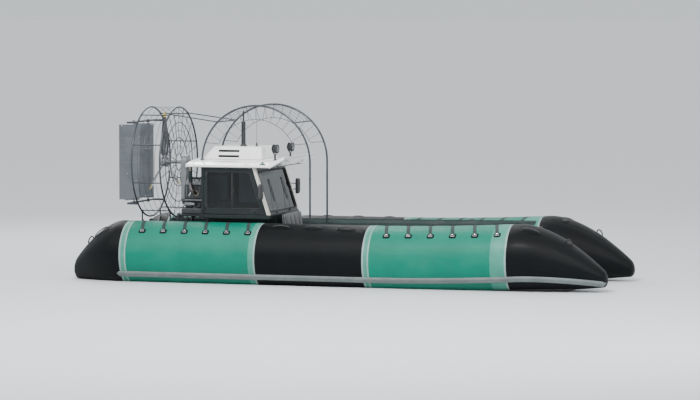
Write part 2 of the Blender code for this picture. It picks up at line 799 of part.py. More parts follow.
def add_guard():
    """Two arches, the bars that tie them and the stays to the top of the propeller's grille."""
    foot = DECK_TOP + SEAT_GAP
    arches = []
    for side, name in ((-1, "branch_guard"), (1, "guard_arch")):
        front = guard_point(0, side)
        rear = guard_point(180, side)
        route = [(front.x, front.y, foot), (front.x, front.y, GUARD_HEIGHT - 0.06)]
        route += [guard_point(15 * k, side) for k in range(13)]
        route.append((rear.x, rear.y, ROOF_BOTTOM + 0.01))
        arches.append(pipe(name, route, GUARD_TUBE, "cage_metal"))
    pieces = []
    for degrees in GUARD_TIE_ANGLES:
        ends = [guard_point(degrees, side) for side in (-1, 1)]
        pieces.append(bar(f"guard_tie_{degrees}", *ends, GUARD_TUBE - 0.004, "cage_metal"))
    angle = math.radians(GUARD_STAY_ANGLE)
    hoop_end = Vector((at(CAGE_FRONT), CAGE_RADIUS * math.cos(angle), SHAFT_HEIGHT + CAGE_RADIUS * math.sin(angle)))
    for side in (-1, 1):
        start = guard_point(GUARD_TIE_ANGLES[-1], side)
        end = Vector((hoop_end.x, side * hoop_end.y, hoop_end.z))
        pieces.append(bar(f"guard_stay_{side}", start, end, GUARD_TUBE - 0.006, "cage_metal"))
        pieces.append(box(
            f"guard_foot_{side}", (guard_point(0, side).x - 0.05, side * GUARD_OFFSET - 0.0175, foot),
            (guard_point(0, side).x + 0.05, side * GUARD_OFFSET + 0.0175, foot + FOOT_THICKNESS), "cage_metal",
        ))
    guard = fuse(arches[0], [arches[1], *pieces])
    hoop_room = hoop("guard_hoop_room", (at(CAGE_FRONT), 0, SHAFT_HEIGHT), CAGE_RADIUS, HOOP_RADIUS + SEAT_GAP, "cage_metal")
    return cut(guard, roof_room("guard_roof_room"), hoop_room)


# Mirrors, lamps and mast


def add_mirror(side, side_name):
    depth, width, height = MIRROR_SIZE
    ahead = screen_station(MIRROR_HEIGHT - height / 2)
    centre = Vector((at(ahead), side * MIRROR_OFFSET, MIRROR_HEIGHT))
    half = Vector((depth, width, height)) / 2
    head = box(f"mirror_{side_name}", centre - half, centre + half, "mirror_black")
    arms = []
    pad = Vector((0.026, 0.010, 0.036)) / 2
    for lift in (-0.05, 0.05):
        start = Vector((0, side * (CABIN_HALF_WIDTH + SEAT_GAP + 0.005), MIRROR_HEIGHT + lift))
        start.x = at(screen_station(start.z) - SCREEN_FRAME / 2)
        end = centre + Vector((0, 0, lift))
        arms.append(box(f"mirror_pad_{side_name}_{lift:.2f}", start - pad, start + pad, "mirror_black"))
        arms.append(bar(f"mirror_arm_{side_name}_{lift:.2f}", start, end, 0.009, "mirror_black"))
    return fuse(head, arms)


def add_lamp(side, side_name):
    """A round lamp with a rim, on a flat bracket that stands on the roof."""
    top = ROOF_BOTTOM + ROOF_EDGE + (ROOF_CROWN - ROOF_EDGE) * (1 - (LAMP_OFFSET / ROOF_HALF_WIDTH) ** 2) ** 0.75
    centre = Vector((at(ROOF_END - 0.06), side * LAMP_OFFSET, top + LAMP_LIFT + LAMP_RADIUS))
    rings = []
    for ahead, share in ((-0.055, 0.45), (-0.040, 0.80), (0.0, 0.93), (0.032, 0.93), (0.034, 1), (0.050, 1)):
        rings.append(ring_points(20, LAMP_RADIUS * share, centre + Vector((ahead, 0, 0))))
    lamp = loft(f"searchlight_{side_name}", rings, "frame_black")
    bracket = box(
        f"lamp_bracket_{side_name}", centre - Vector((0.012, 0.02, LAMP_RADIUS + LAMP_LIFT + 0.04)),
        centre + Vector((0.012, 0.02, -0.6 * LAMP_RADIUS)), "frame_black",
    )
    fuse(lamp, [bracket])
    return cut(lamp, roof_room(f"searchlight_room_{side_name}"))


def add_mast():
    """The mast stands on the pod and carries a thinner pole."""
    foot = POD_TOP + SEAT_GAP
    x = at(MAST_STATION)
    mast = bar("mast", (x, 0, foot), (x, 0, MAST_SHOULDER), MAST_RADIUS, "frame_black", 16)
    base = bar("mast_base", (x, 0, foot), (x, 0, foot + 0.02), MAST_RADIUS + 0.025, "frame_black", 20)
    pole = bar("mast_pole", (x, 0, MAST_SHOULDER - 0.05), (x, 0, MAST_TOP), 0.014, "frame_black")
    return fuse(mast, [base, pole])


# Seats, helm and foredeck


def seat_outline(start, floor, depth, back_height):
    """The side view of a seat: a cushion on a pedestal and a leaning back."""
    top = floor + SEAT_HEIGHT
    lean = 0.12
    return [
        (start + 0.10, floor), (start + depth - 0.06, floor), (start + depth - 0.06, top - 0.10),
        (start + depth, top - 0.09), (start + depth, top), (start + 0.13, top - 0.03),
        (start + 0.13 - lean, top + back_height), (start + 0.04 - lean, top + back_height),
        (start + 0.02, top - 0.10), (start + 0.10, top - 0.12),
    ]


def add_seat(side, side_name):
    floor = TUB_FLOOR + SEAT_GAP
    outline = seat_outline(SEAT_STATION + 0.06, floor, SEAT_DEPTH, SEAT_BACK_HEIGHT)
    middle = side * (SEAT_WIDTH / 2 + 0.01)
    seat = along_y(f"seat_{side_name}", outline, middle, SEAT_WIDTH, "seat_vinyl")
    return rounded(seat, 0.018)


def add_helm():
    inner = TUB_HALF_WIDTH - WALL - SEAT_GAP
    front = CABIN_FRONT - WALL - SEAT_GAP
    outline = [
        (front, SILL - 0.36), (front, SILL - 0.02), (front - 0.10, SILL),
        (front - DASH_DEPTH, SILL - 0.12), (front - DASH_DEPTH + 0.02, SILL - 0.26),
    ]
    dash = along_y("dashboard", outline, 0, 2 * inner, "cabin_dark")
    middle = (at(WHEEL_STATION), SEAT_WIDTH / 2 + 0.01, WHEEL_HEIGHT)
    tilt = math.radians(90 - WHEEL_TILT)
    axis = Vector((-math.cos(tilt), 0, math.sin(tilt)))
    bpy.ops.mesh.primitive_torus_add(
        major_radius=WHEEL_RADIUS, minor_radius=0.013, major_segments=28, minor_segments=6,
    )
    rim = bpy.context.object
    rim.name = "steering_wheel"
    for home in list(rim.users_collection):
        home.objects.unlink(rim)
    parts.objects.link(rim)
    rim.data.materials.append(materials["frame_black"])
    pieces = []
    for k in range(3):
        angle = 2 * math.pi * k / 3 + math.pi / 2
        tip = (WHEEL_RADIUS * math.cos(angle), WHEEL_RADIUS * math.sin(angle), 0)
        pieces.append(bar(f"wheel_spoke_{k}", (0, 0, -0.01), tip, 0.010, "frame_black"))
    pieces.append(bar("wheel_hub", (0, 0, -HUB_REACH), (0, 0, 0.015), 0.028, "frame_black", 16))
    fuse(rim, pieces)
    rim.location = middle
    turn = axis.to_track_quat("Z", "Y")
    rim.rotation_mode = "QUATERNION"
    rim.rotation_quaternion = turn
    for piece in pieces:
        piece.matrix_basis = Matrix.Translation(middle) @ turn.to_matrix().to_4x4() @ piece.matrix_basis
    column_end = Vector(middle) - axis * (HUB_REACH + SEAT_GAP)
    column = bar("column", column_end - axis * 0.11, column_end, 0.03, "frame_black", 16)
    fuse(dash, [column])


def add_bench():
    floor = DECK_TOP + SEAT_GAP
    start, end = BENCH_START, BENCH_START + BENCH_DEPTH
    half = BENCH_HALF_WIDTH
    top = floor + BENCH_HEIGHT
    base = box("bench_locker", (at(start), -half, floor), (at(end), half, top), "deck_metal")
    room = box(
        "locker_room", (at(start + 0.02), -half + 0.02, floor + 0.02),
        (at(end - 0.02), half - 0.02, top + 0.1), "deck_metal",
    )
    cut(base, room)
    back = [
        (start - 0.004, top + SEAT_GAP), (start + 0.09, top + SEAT_GAP),
        (start + 0.02, BENCH_BACK_TOP), (start - 0.06, BENCH_BACK_TOP),
    ]
    rest = along_y("bench_back", back, 0, 2 * half, "seat_vinyl")
    rounded(rest, 0.02)
    lid = box(
        "bench_lid", (at(start + 0.115), -half, top + SEAT_GAP),
        (at(end + 0.005), half, top + SEAT_GAP + LID_THICKNESS), "deck_metal",
    )
    pad_low = top + LID_THICKNESS + 2 * SEAT_GAP
    pad = box(
        "bench_cushion", (at(start + 0.115), -half + 0.01, pad_low),
        (at(end), half - 0.01, pad_low + CUSHION_THICKNESS), "seat_vinyl",
    )
    rounded(pad, 0.02)
    axis = (at(end + 0.02), 0, top + 0.004)
    hinge = bpy.data.objects.new("bench_lid_hinge", None)
    hinge.location = axis
    parts.objects.link(hinge)
    for obj in (lid, pad):
        obj.parent = hinge
        obj.matrix_parent_inverse = Matrix.Translation(axis).inverted()


# Engine, drive and propeller


def pipe(name, points, radius, slot):
    """A bent round pipe through the points, with flat ends."""
    curve = bpy.data.curves.new(name, "CURVE")
    curve.dimensions = "3D"
    curve.bevel_depth = radius
    curve.bevel_resolution = 2
    curve.use_fill_caps = True
    spline = curve.splines.new("POLY")
    spline.points.add(len(points) - 1)
    for point, place in zip(spline.points, points):
        point.co = (*place, 1)
    guide = bpy.data.objects.new(f"{name}_route", curve)
    helpers.objects.link(guide)
    graph = bpy.context.evaluated_depsgraph_get()
    mesh = bpy.data.meshes.new_from_object(guide.evaluated_get(graph))
    bpy.data.objects.remove(guide)
    bm = bmesh.new()
    bm.from_mesh(mesh)
    bpy.data.meshes.remove(mesh)
    bmesh.ops.remove_doubles(bm, verts=bm.verts, dist=0.00005)
    return keep(name, bm, slot)


def add_stand():
    """Four posts with rails between them and the arms that carry the radiator."""
    foot = DECK_TOP + SEAT_GAP
    half = STAND_HALF_WIDTH
    corners = [(s, y) for s in (STAND_START, STAND_END) for y in (-half, half)]
    stand = bar("engine_stand", (at(STAND_START), -half, STAND_TOP), (at(STAND_START), half, STAND_TOP), BAR_RADIUS, "frame_black")
    pieces = [bar("stand_front_rail", (at(STAND_END), -half, STAND_TOP), (at(STAND_END), half, STAND_TOP), BAR_RADIUS, "frame_black")]
    for y in (-half, half):
        pieces.append(bar(f"stand_side_{y:.2f}", (at(STAND_START), y, STAND_TOP), (at(STAND_END), y, STAND_TOP), BAR_RADIUS, "frame_black"))
    for station in (RADIATOR_START + 0.06, RADIATOR_START + RADIATOR[0] - 0.06):
        arm = [(at(station), half, STAND_TOP), (at(station), RADIATOR_OFFSET + RADIATOR[1] / 2, STAND_TOP)]
        pieces.append(bar(f"radiator_arm_{station:.2f}", *arm, BAR_RADIUS - 0.003, "frame_black"))
    for s, y in corners:
        pieces.append(bar(f"stand_post_{s:.2f}_{y:.2f}", (at(s), y, foot + 0.004), (at(s), y, STAND_TOP + 0.03), POST_RADIUS, "frame_black"))
        plate_half = STAND_FOOT / 2
        pieces.append(box(
            f"stand_foot_{s:.2f}_{y:.2f}", (at(s) - plate_half, y - plate_half, foot),
            (at(s) + plate_half, y + plate_half, foot + FOOT_THICKNESS), "frame_black",
        ))
    return fuse(stand, pieces)


def add_engine():
    low = STAND_TOP + BAR_RADIUS + SEAT_GAP
    half = ENGINE_WIDTH / 2
    start, end = ENGINE_START, ENGINE_START + ENGINE_LENGTH
    outline = [
        (-0.16, low + 0.10), (-0.36, low + 0.10), (-0.36, low), (0.36, low), (0.36, low + 0.10), (0.16, low + 0.10),
        (half, CRANK_HEIGHT), (half, ENGINE_TOP - 0.10), (0.12, ENGINE_TOP),
        (-0.12, ENGINE_TOP), (-half, ENGINE_TOP - 0.10), (-half, CRANK_HEIGHT),
    ]
    engine = along_x("engine", outline[::-1], start, end, "engine_metal")
    rounded(engine, 0.02)


def add_engine_fittings():
    """The fuel tank under the engine, the radiator beside it and the two exhausts."""
    foot = DECK_TOP + SEAT_GAP
    length, width, height = TANK
    middle = (STAND_START + STAND_END) / 2
    tank = box(
        "fuel_tank", (at(middle - length / 2), -width / 2, foot),
        (at(middle + length / 2), width / 2, foot + height), "frame_black",
    )
    rounded(tank, 0.03)
    length, depth, height = RADIATOR
    low = STAND_TOP + BAR_RADIUS - 0.003 + SEAT_GAP
    box(
        "radiator", (at(RADIATOR_START), RADIATOR_OFFSET - depth / 2, low),
        (at(RADIATOR_START + length), RADIATOR_OFFSET + depth / 2, low + height), "engine_metal",
    )
    start = at(ENGINE_START + 0.5 * ENGINE_LENGTH)
    root = ENGINE_WIDTH / 2 + SEAT_GAP
    for side, side_name in ((-1, "stbd"), (1, "port")):
        route = [(start, side * root, CRANK_HEIGHT + 0.08), (start, side * (root + 0.05), CRANK_HEIGHT + 0.08)]
        route += [(start - 0.03, side * (root + 0.09), CRANK_HEIGHT + 0.12)]
        route += [(start - 0.06, side * (root + 0.10), CRANK_HEIGHT + 0.20)]
        route += [(start - 0.06, side * (root + 0.10), EXHAUST_TOP)]
        pipe(f"exhaust_{side_name}", route, EXHAUST_RADIUS, "exhaust_steel")


def add_bitt():
    """A mooring post with a cross pin on the bow step."""
    foot = BOW_BOX_TOP + SEAT_GAP
    x = at((BOW_BOX_START + BOW_END) / 2)
    post = bar("bow_bitt", (x, 0, foot + 0.006), (x, 0, foot + 0.17), 0.032, "frame_black", 16)
    pin = bar("bitt_pin", (x, -0.085, foot + 0.12), (x, 0.085, foot + 0.12), 0.012, "frame_black")
    base = box("bitt_base", (x - 0.07, -0.07, foot), (x + 0.07, 0.07, foot + 0.012), "frame_black")
    return fuse(post, [pin, base])


def add_drive():
    """The belt case from the crank up to the propeller shaft."""
    start = ENGINE_START - SEAT_GAP - DRIVE_THICKNESS
    outline = []
    for k in range(13):
        angle = math.pi * k / 12
        outline.append((DRIVE_RADIUS * math.cos(angle), SHAFT_HEIGHT + DRIVE_RADIUS * math.sin(angle)))
    for k in range(13):
        angle = math.pi + math.pi * k / 12
        outline.append((DRIVE_RADIUS * math.cos(angle), CRANK_HEIGHT + DRIVE_RADIUS * math.sin(angle)))
    return along_x("drive_case", outline, start, start + DRIVE_THICKNESS, "engine_metal")


def blade(name, angle):
    """A twisted blade from the hub to the tip."""
    rings = []
    for k in range(7):
        share = k / 6
        reach = HUB_RADIUS * 0.6 + (PROP_RADIUS - HUB_RADIUS * 0.6) * share
        chord = 0.10 + 0.075 * math.sin(math.pi * min(1, share * 0.9 + 0.1)) - 0.045 * share**4
        thick = 0.030 * (1 - share) + 0.007
        pitch = math.atan2(0.62 * 0.30, reach + 0.06)
        ring = []
        for u, v in ((-0.5, 0), (-0.25, 0.42), (0.1, 0.5), (0.5, 0), (0.1, -0.3), (-0.25, -0.3)):
            along, across = u * chord, v * thick
            x = along * math.sin(pitch) + across * math.cos(pitch)
            y = along * math.cos(pitch) - across * math.sin(pitch)
            ring.append((x, y, reach))
        rings.append(ring)
    obj = loft(name, rings, "prop_composite")
    obj.matrix_basis = Matrix.Rotation(angle, 4, "X")
    return obj


def add_propeller():
    centre = (at(PROP_STATION), 0, SHAFT_HEIGHT)
    hub = bar("propeller", (-HUB_LENGTH / 2, 0, 0), (HUB_LENGTH / 2, 0, 0), HUB_RADIUS, "prop_composite", 24)
    pieces = [blade(f"blade_{k}", 2 * math.pi * k / PROP_BLADES) for k in range(PROP_BLADES)]
    shaft_end = ENGINE_START - DRIVE_THICKNESS - 2 * SEAT_GAP - PROP_STATION
    pieces.append(bar("shaft", (0, 0, 0), (shaft_end, 0, 0), 0.03, "prop_composite", 12))
    fuse(hub, pieces)
    for obj in (hub, *pieces):
        obj.matrix_basis = Matrix.Translation(centre) @ obj.matrix_basis


RUDDER_BEAM_RISE = RUDDER_HALF_HEIGHT + 0.045


def around(station, radius, angle):
    """A point on a circle about the propeller's axis."""
    return Vector((at(station), radius * math.cos(angle), SHAFT_HEIGHT + radius * math.sin(angle)))


def add_front_grille():
    """The round grille between the propeller and the engine."""
    centre = (at(CAGE_FRONT), 0, SHAFT_HEIGHT)
    grille = hoop("cage_front", centre, CAGE_RADIUS, HOOP_RADIUS, "cage_metal")
    pieces = []
    for share in GRILLE_RINGS:
        radius = CAGE_RADIUS * share
        pieces.append(hoop(f"cage_ring_{share:.2f}", centre, radius, RING_RADIUS, "cage_metal", 36, 4))
    for k in range(CAGE_SPOKES):
        angle = 2 * math.pi * (k + 0.5) / CAGE_SPOKES
        ends = [around(CAGE_FRONT, CAGE_RADIUS * share, angle) for share in (GRILLE_RINGS[0], 1)]
        pieces.append(bar(f"cage_spoke_{k}", *ends, WIRE_RADIUS, "cage_metal", 6))
    return fuse(grille, pieces)


def add_rear_cage():
    """The rear hoop, the stringers towards the grille and the beams that carry the rudders."""
    centre = (at(CAGE_REAR), 0, SHAFT_HEIGHT)
    cage = hoop("cage_rear", centre, CAGE_RADIUS, HOOP_RADIUS, "cage_metal")
    pieces = []
    front = CAGE_FRONT - HOOP_RADIUS - SEAT_GAP
    for degrees in STRINGER_ANGLES:
        angle = math.radians(degrees)
        ends = [around(station, CAGE_RADIUS, angle) for station in (front, CAGE_REAR)]
        pieces.append(bar(f"cage_stringer_{degrees}", *ends, STRINGER_RADIUS, "cage_metal", 6))
    reach = math.sqrt(CAGE_RADIUS**2 - RUDDER_BEAM_RISE**2)
    x = at(RUDDER_STATION)
    for lift in (-RUDDER_BEAM_RISE, RUDDER_BEAM_RISE):
        height = SHAFT_HEIGHT + lift
        ends = [(x, y, height) for y in (-reach, reach)]
        pieces.append(bar(f"rudder_beam_{lift:.2f}", *ends, BEAM_RADIUS, "cage_metal"))
        for y in (-RUDDER_OFFSET, RUDDER_OFFSET):
            boss = [(x, y, height + dz) for dz in (-BOSS_HALF_HEIGHT, BOSS_HALF_HEIGHT)]
            pieces.append(bar(f"rudder_boss_{lift:.2f}_{y:.2f}", *boss, BOSS_RADIUS, "cage_metal", 12))
        for x_end, y, _ in ends:
            stay = [(x_end - 0.012, y, height), (centre[0], y, height)]
            pieces.append(bar(f"beam_stay_{lift:.2f}_{y:.2f}", *stay, BEAM_RADIUS + 0.002, "cage_metal"))
    return fuse(cage, pieces)


def add_cage_leg(side, side_name):
    """The side frame that carries both hoops: two legs, a foot rail and a brace."""
    y = side * LEG_OFFSET
    foot = DECK_TOP + SEAT_GAP
    knee = SHAFT_HEIGHT - math.sqrt(CAGE_RADIUS**2 - LEG_OFFSET**2)
    rise = foot + LEG_RADIUS + 0.004
    ends = [(at(CAGE_REAR - 0.05), y, rise), (at(CAGE_FRONT + 0.05), y, rise)]
    frame = bar(f"cage_leg_{side_name}", *ends, LEG_RADIUS + 0.004, "cage_metal")
    pieces = []
    for station in (CAGE_REAR, CAGE_FRONT):
        leg = [(at(station), y, rise - 0.006), (at(station), y, knee)]
        pieces.append(bar(f"leg_{side_name}_{station:.2f}", *leg, LEG_RADIUS, "cage_metal"))
    brace = [(at(CAGE_FRONT), y, rise + 0.05), (at(CAGE_REAR), y, knee - 0.12)]
    pieces.append(bar(f"leg_brace_{side_name}", *brace, LEG_RADIUS - 0.003, "cage_metal"))
    fuse(frame, pieces)
    rooms = [
        hoop(f"hoop_room_{side_name}_{station:.2f}", (at(station), 0, SHAFT_HEIGHT), CAGE_RADIUS,
             HOOP_RADIUS + SEAT_GAP, "cage_metal")
        for station in (CAGE_REAR, CAGE_FRONT)
    ]
    return cut(frame, *rooms)


def add_rudder(side, side_name):
    """A blade on a post whose ends run in the two beams."""
    axis = Vector((at(RUDDER_STATION), side * RUDDER_OFFSET, SHAFT_HEIGHT))
    shape = []
    for u, v in ((0, 0), (0.06, 0.36), (0.25, 0.5), (0.6, 0.32), (1, 0.04)):
        shape.append((0.28 * RUDDER_CHORD - u * RUDDER_CHORD, v * RUDDER_THICKNESS))
    outline = [*shape, *[(x, -y) for x, y in reversed(shape[1:])]]
    turn = Matrix.Identity(4)
    foil = plate(f"rudder_{side_name}", outline, 2 * RUDDER_HALF_HEIGHT, "hull_metal", turn)
    reach = RUDDER_BEAM_RISE - BOSS_HALF_HEIGHT - SEAT_GAP
    post = bar(f"rudder_post_{side_name}", (0, 0, -reach), (0, 0, reach), PIN_RADIUS, "hull_metal")
    bottom = -RUDDER_HALF_HEIGHT
    horn = box(
        f"rudder_horn_{side_name}", (-HORN_LENGTH - 0.015, -0.015, bottom - 0.006),
        (0.015, 0.015, bottom + 0.02), "hull_metal",
    )
    pin = bar(
        f"horn_pin_{side_name}", (-HORN_LENGTH, 0, bottom - 0.006 - SEAT_GAP - TIE_THICKNESS),
        (-HORN_LENGTH, 0, bottom + 0.01), TIE_PIN_RADIUS, "hull_metal", 12,
    )
    fuse(foil, [post, horn, pin])
    for obj in (foil, post, horn, pin):
        obj.matrix_basis = Matrix.Translation(axis) @ obj.matrix_basis


def add_tie_bar():
    """The bar that makes the two rudders turn together, hung on the pins of their horns."""
    top = SHAFT_HEIGHT - RUDDER_HALF_HEIGHT - 0.006 - SEAT_GAP
    x = at(RUDDER_STATION) - HORN_LENGTH
    reach = RUDDER_OFFSET + 0.02
    tie = box("tie_bar", (x - 0.014, -reach, top - TIE_THICKNESS), (x + 0.014, reach, top), "cage_metal")
    holes = []
    for y in (-RUDDER_OFFSET, RUDDER_OFFSET):
        ends = [(x, y, top - 2 * TIE_THICKNESS), (x, y, top + TIE_THICKNESS)]
        holes.append(bar(f"tie_hole_{y:.2f}", *ends, TIE_PIN_RADIUS + SEAT_GAP, "cage_metal", 12))
    cut(tie, *holes)


for side, side_name in ((-1, "stbd"), (1, "port")):
    add_tubes(side, side_name)
    add_lacing(side, side_name)
    add_door(side, side_name)
    add_mirror(side, side_name)
    add_lamp(side, side_name)
    add_seat(side, side_name)
    add_rudder(side, side_name)
    add_cage_leg(side, side_name)
add_hull()
add_tub()
add_rear_wall()
add_front_frame()
add_roof()
add_mast()
add_helm()
add_bench()
add_stand()
add_engine()
add_drive()
add_propeller()
add_front_grille()
add_rear_cage()
add_tie_bar()
add_engine_fittings()
add_bitt()
add_guard()
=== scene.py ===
import json
from functools import partial
from itertools import product
from math import asin, atan2, copysign, cos, degrees, exp, hypot, pi, radians, sin, sqrt

import bpy
from mathutils import Matrix, Vector, noise

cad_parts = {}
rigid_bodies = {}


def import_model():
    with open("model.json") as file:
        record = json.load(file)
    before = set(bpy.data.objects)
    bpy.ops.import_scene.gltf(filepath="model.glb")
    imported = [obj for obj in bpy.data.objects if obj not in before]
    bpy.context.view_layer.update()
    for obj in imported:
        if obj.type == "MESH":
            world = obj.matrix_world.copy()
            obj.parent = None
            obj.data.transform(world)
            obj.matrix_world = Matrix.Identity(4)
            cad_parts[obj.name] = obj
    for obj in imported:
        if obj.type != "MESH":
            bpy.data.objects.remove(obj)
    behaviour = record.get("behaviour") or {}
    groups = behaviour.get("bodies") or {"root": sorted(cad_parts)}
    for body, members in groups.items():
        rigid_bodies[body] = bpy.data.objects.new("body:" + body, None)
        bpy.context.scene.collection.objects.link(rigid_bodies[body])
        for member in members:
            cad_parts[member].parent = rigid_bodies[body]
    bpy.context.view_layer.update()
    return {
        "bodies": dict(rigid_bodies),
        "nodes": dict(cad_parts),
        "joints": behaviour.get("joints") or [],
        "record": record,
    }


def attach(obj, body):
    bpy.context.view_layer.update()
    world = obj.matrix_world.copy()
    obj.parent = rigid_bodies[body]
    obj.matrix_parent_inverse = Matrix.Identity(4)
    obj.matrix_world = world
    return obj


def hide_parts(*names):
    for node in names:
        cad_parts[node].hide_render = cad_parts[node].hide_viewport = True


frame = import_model()
cadNodes = frame["nodes"]
print("frame loaded:", len(cadNodes), "nodes")

midStation = 4.45  # stations are metres from the tubes' stern ends
alongX, acrossY, upZ = Matrix.Identity(3)
bothSides = ((-1, "Stbd"), (1, "Port"))
ends = (-1, 1)
gathered = {}  # points and faces of the pieces under way, by name


class Settings(dict):
    # a dictionary whose values are also read with a dot
    __getattr__ = dict.__getitem__


# Forms: each is added to the points and faces gathered under a name

def spot(station, y, z):
    return vec(station - midStation, y, z)


def turns(count, shift=0):
    # even angles of a whole turn
    return [2 * pi * (k + shift) / count for k in range(count)]


def vec(x, y, z):
    return Vector((x, y, z))


def polar(radius, angle, along=0):
    return vec(radius * cos(angle), radius * sin(angle), along)


def mm(*sizes):
    # a profile: distance along and radius in turn, in millimetres
    return [(along / 1000, radius / 1000) for along, radius in zip(sizes[::2], sizes[1::2])]


def rounded(turn, power):
    # a point of a square with rounded corners
    return [copysign(abs(share) ** power, share) for share in (cos(turn), sin(turn))]


def skin(name, rows, closed=False):
    # skins a list of rows that have the same number of points
    points, faces = gathered.setdefault(name, ([], []))
    start, count, total = len(points), len(rows[0]), len(rows)
    for row in rows:
        points.extend(tuple(point) for point in row)
    for r in range(total if closed else total - 1):
        here, there = start + r * count, start + (r + 1) % total * count
        for k in range(count):
            after = (k + 1) % count
            faces.append((here + k, here + after, there + after, there + k))
    if not closed:
        faces.append(tuple(range(start, start + count))[::-1])
        faces.append(tuple(range(start + (total - 1) * count, start + total * count)))


def axisFrame(axis):
    # a turn whose Z lies along the axis
    return Vector(axis).to_track_quat("Z", "Y").to_matrix()


def turned(name, profile, centre, axis, sides=24):
    # profile is (along, radius) pairs from the near end to the far end
    turn, centre = axisFrame(axis), Vector(centre)
    skin(name, [[centre + turn @ polar(radius, angle, along) for angle in turns(sides)]
        for along, radius in profile])


def rod(name, start, end, radius, sides=14, ease=0):
    start, end = Vector(start), Vector(end)
    length = (end - start).length
    profile = [(0, radius), (length, radius)]
    if ease:
        profile = [(0, radius - ease), (ease, radius), (length - ease, radius), (length, radius - ease)]
    turned(name, profile, start, end - start, sides)


def hoop(name, centre, axis, radius, thickness, around=72, sides=10):
    # a ring of round bar
    turn, centre = axisFrame(axis), Vector(centre)
    rows = []
    for angle in turns(around):
        out = polar(1, angle)
        rows.append([centre + turn @ (out * (radius + thickness * cos(roll))
                                      + vec(0, 0, thickness * sin(roll))) for roll in turns(sides)][::-1])
    skin(name, rows, closed=True)


def smoothRoute(points, steps):
    # a round-cornered route through the points
    points = [Vector(point) for point in points]
    route = []
    for k in range(len(points) - 1):
        before, here, there = points[max(0, k - 1)], points[k], points[k + 1]
        pull, push = (there - before) * .5, (points[min(len(points) - 1, k + 2)] - here) * .5
        for t in (j / steps for j in range(steps)):
            route.append(here * (2 * t**3 - 3 * t**2 + 1) + pull * (t**3 - 2 * t**2 + t)
                         + there * (-2 * t**3 + 3 * t**2) + push * (t**3 - t**2))
    return route + [points[-1]]


def roundedRoute(corners, ease, steps=6):
    # a closed route through corners, each turned on a small curve
    corners = [Vector(corner) for corner in corners]
    route = []
    for k, corner in enumerate(corners):
        before = (corners[k - 1] - corner).normalized() * ease
        after = (corners[(k + 1) % len(corners)] - corner).normalized() * ease
        for t in (j / steps for j in range(steps + 1)):
            route.append(corner + before * (1 - t) ** 2 + after * t**2)
    return route


def hose(name, points, radius, sides=12, closed=False, flat=1, up=None):
    # a round or flattened bar along a route
    points = [Vector(point) for point in points]
    total = len(points)
    rows, side = [], None
    for k, here in enumerate(points):
        before = points[k - 1] if k > 0 or closed else here
        after = points[(k + 1) % total] if k < total - 1 or closed else here
        ahead = (after - before).normalized()
        if up is not None:
            side = ahead.cross(Vector(up)).normalized()
        elif side is None:
            side = ahead.orthogonal().normalized()
        else:
            side = (side - ahead * side.dot(ahead)).normalized()
        across = ahead.cross(side).normalized()
        rows.append([here + side * radius * cos(roll) + across * radius * flat * sin(roll)
                     for roll in turns(sides, .5)])
    skin(name, rows, closed)


def listSlabFaces():
    # faces, edges and corners of a block whose eight corners are each cut to three points
    def cut(axis, sign, u, v, flush):
        corner = [u, v]
        corner.insert(axis, sign)
        return 3 * sum(4 >> k for k in range(3) if corner[k] > 0) + flush

    found = []
    for axis, sign in product(range(3), ends):
        quad = [cut(axis, sign, u, v, axis) for u, v in ((-1, -1), (1, -1), (1, 1), (-1, 1))]
        found.append(quad if (sign > 0) != (axis == 1) else quad[::-1])
    for axis, u, v in product(range(3), ends, ends):
        first, second = [k for k in range(3) if k != axis]
        order = ((-1, first), (1, first), (1, second), (-1, second))
        quad = [cut(axis, sign, u, v, flush) for sign, flush in order]
        found.append(quad if (u * v > 0) != (axis == 1) else quad[::-1])
    for corner in range(8):
        trio = [3 * corner, 3 * corner + 1, 3 * corner + 2]
        found.append(trio if corner in (1, 2, 4, 7) else trio[::-1])
    return found


slabFaces = listSlabFaces()


def slab(name, low, high, ease=.004, turn=None, about=None):
    # a block with eased edges
    points, faces = gathered.setdefault(name, ([], []))
    low, high = Vector(low), Vector(high)
    centre, half = (low + high) / 2, (high - low) / 2
    ease = min(ease, min(half) * .9)
    start = len(points)
    for *signs, flush in product(ends, ends, ends, range(3)):
        local = Vector([sign * (reach - ease) for sign, reach in zip(signs, half)])
        local[flush] = signs[flush] * half[flush]
        place = centre + local
        points.append(tuple(place if turn is None else Vector(about) + turn @ (place - Vector(about))))
    faces.extend(tuple(start + k for k in face) for face in slabFaces)


def slabAt(name, about, low, high, ease=.004, turn=None):
    # a block given by its corners' steps from a point, and turned there
    slab(name, about + Vector(low), about + Vector(high), ease, turn, about)


def boxed(name, x, y, z, ease=.004):
    # a block between two stations, two widths and two heights
    slab(name, spot(x[0], y[0], z[0]), spot(x[1], y[1], z[1]), ease)


def around(middle, half):
    return middle - half, middle + half


def outward(side):
    return vec(0, side, 0)


def bolt(name, place, axis, size=.008):
    # a washer with a hexagon head on it
    turned(name, [(-.001, size * 1.5), (size * .2, size * 1.5), (size * .25, size * 1.35)], place, axis, 14)
    turned(name, [(size * .2, size), (size * .8, size), (size * .95, size * .8)], place, axis, 6)


def rivet(name, place, axis, size=.005):
    turned(name, [(-.001, size), (size * .25, size * .9), (size * .5, size * .45)], place, axis, 8)


def weld(name, place, axis, radius):
    hoop(name, place, axis, radius, .0024, 20, 6)


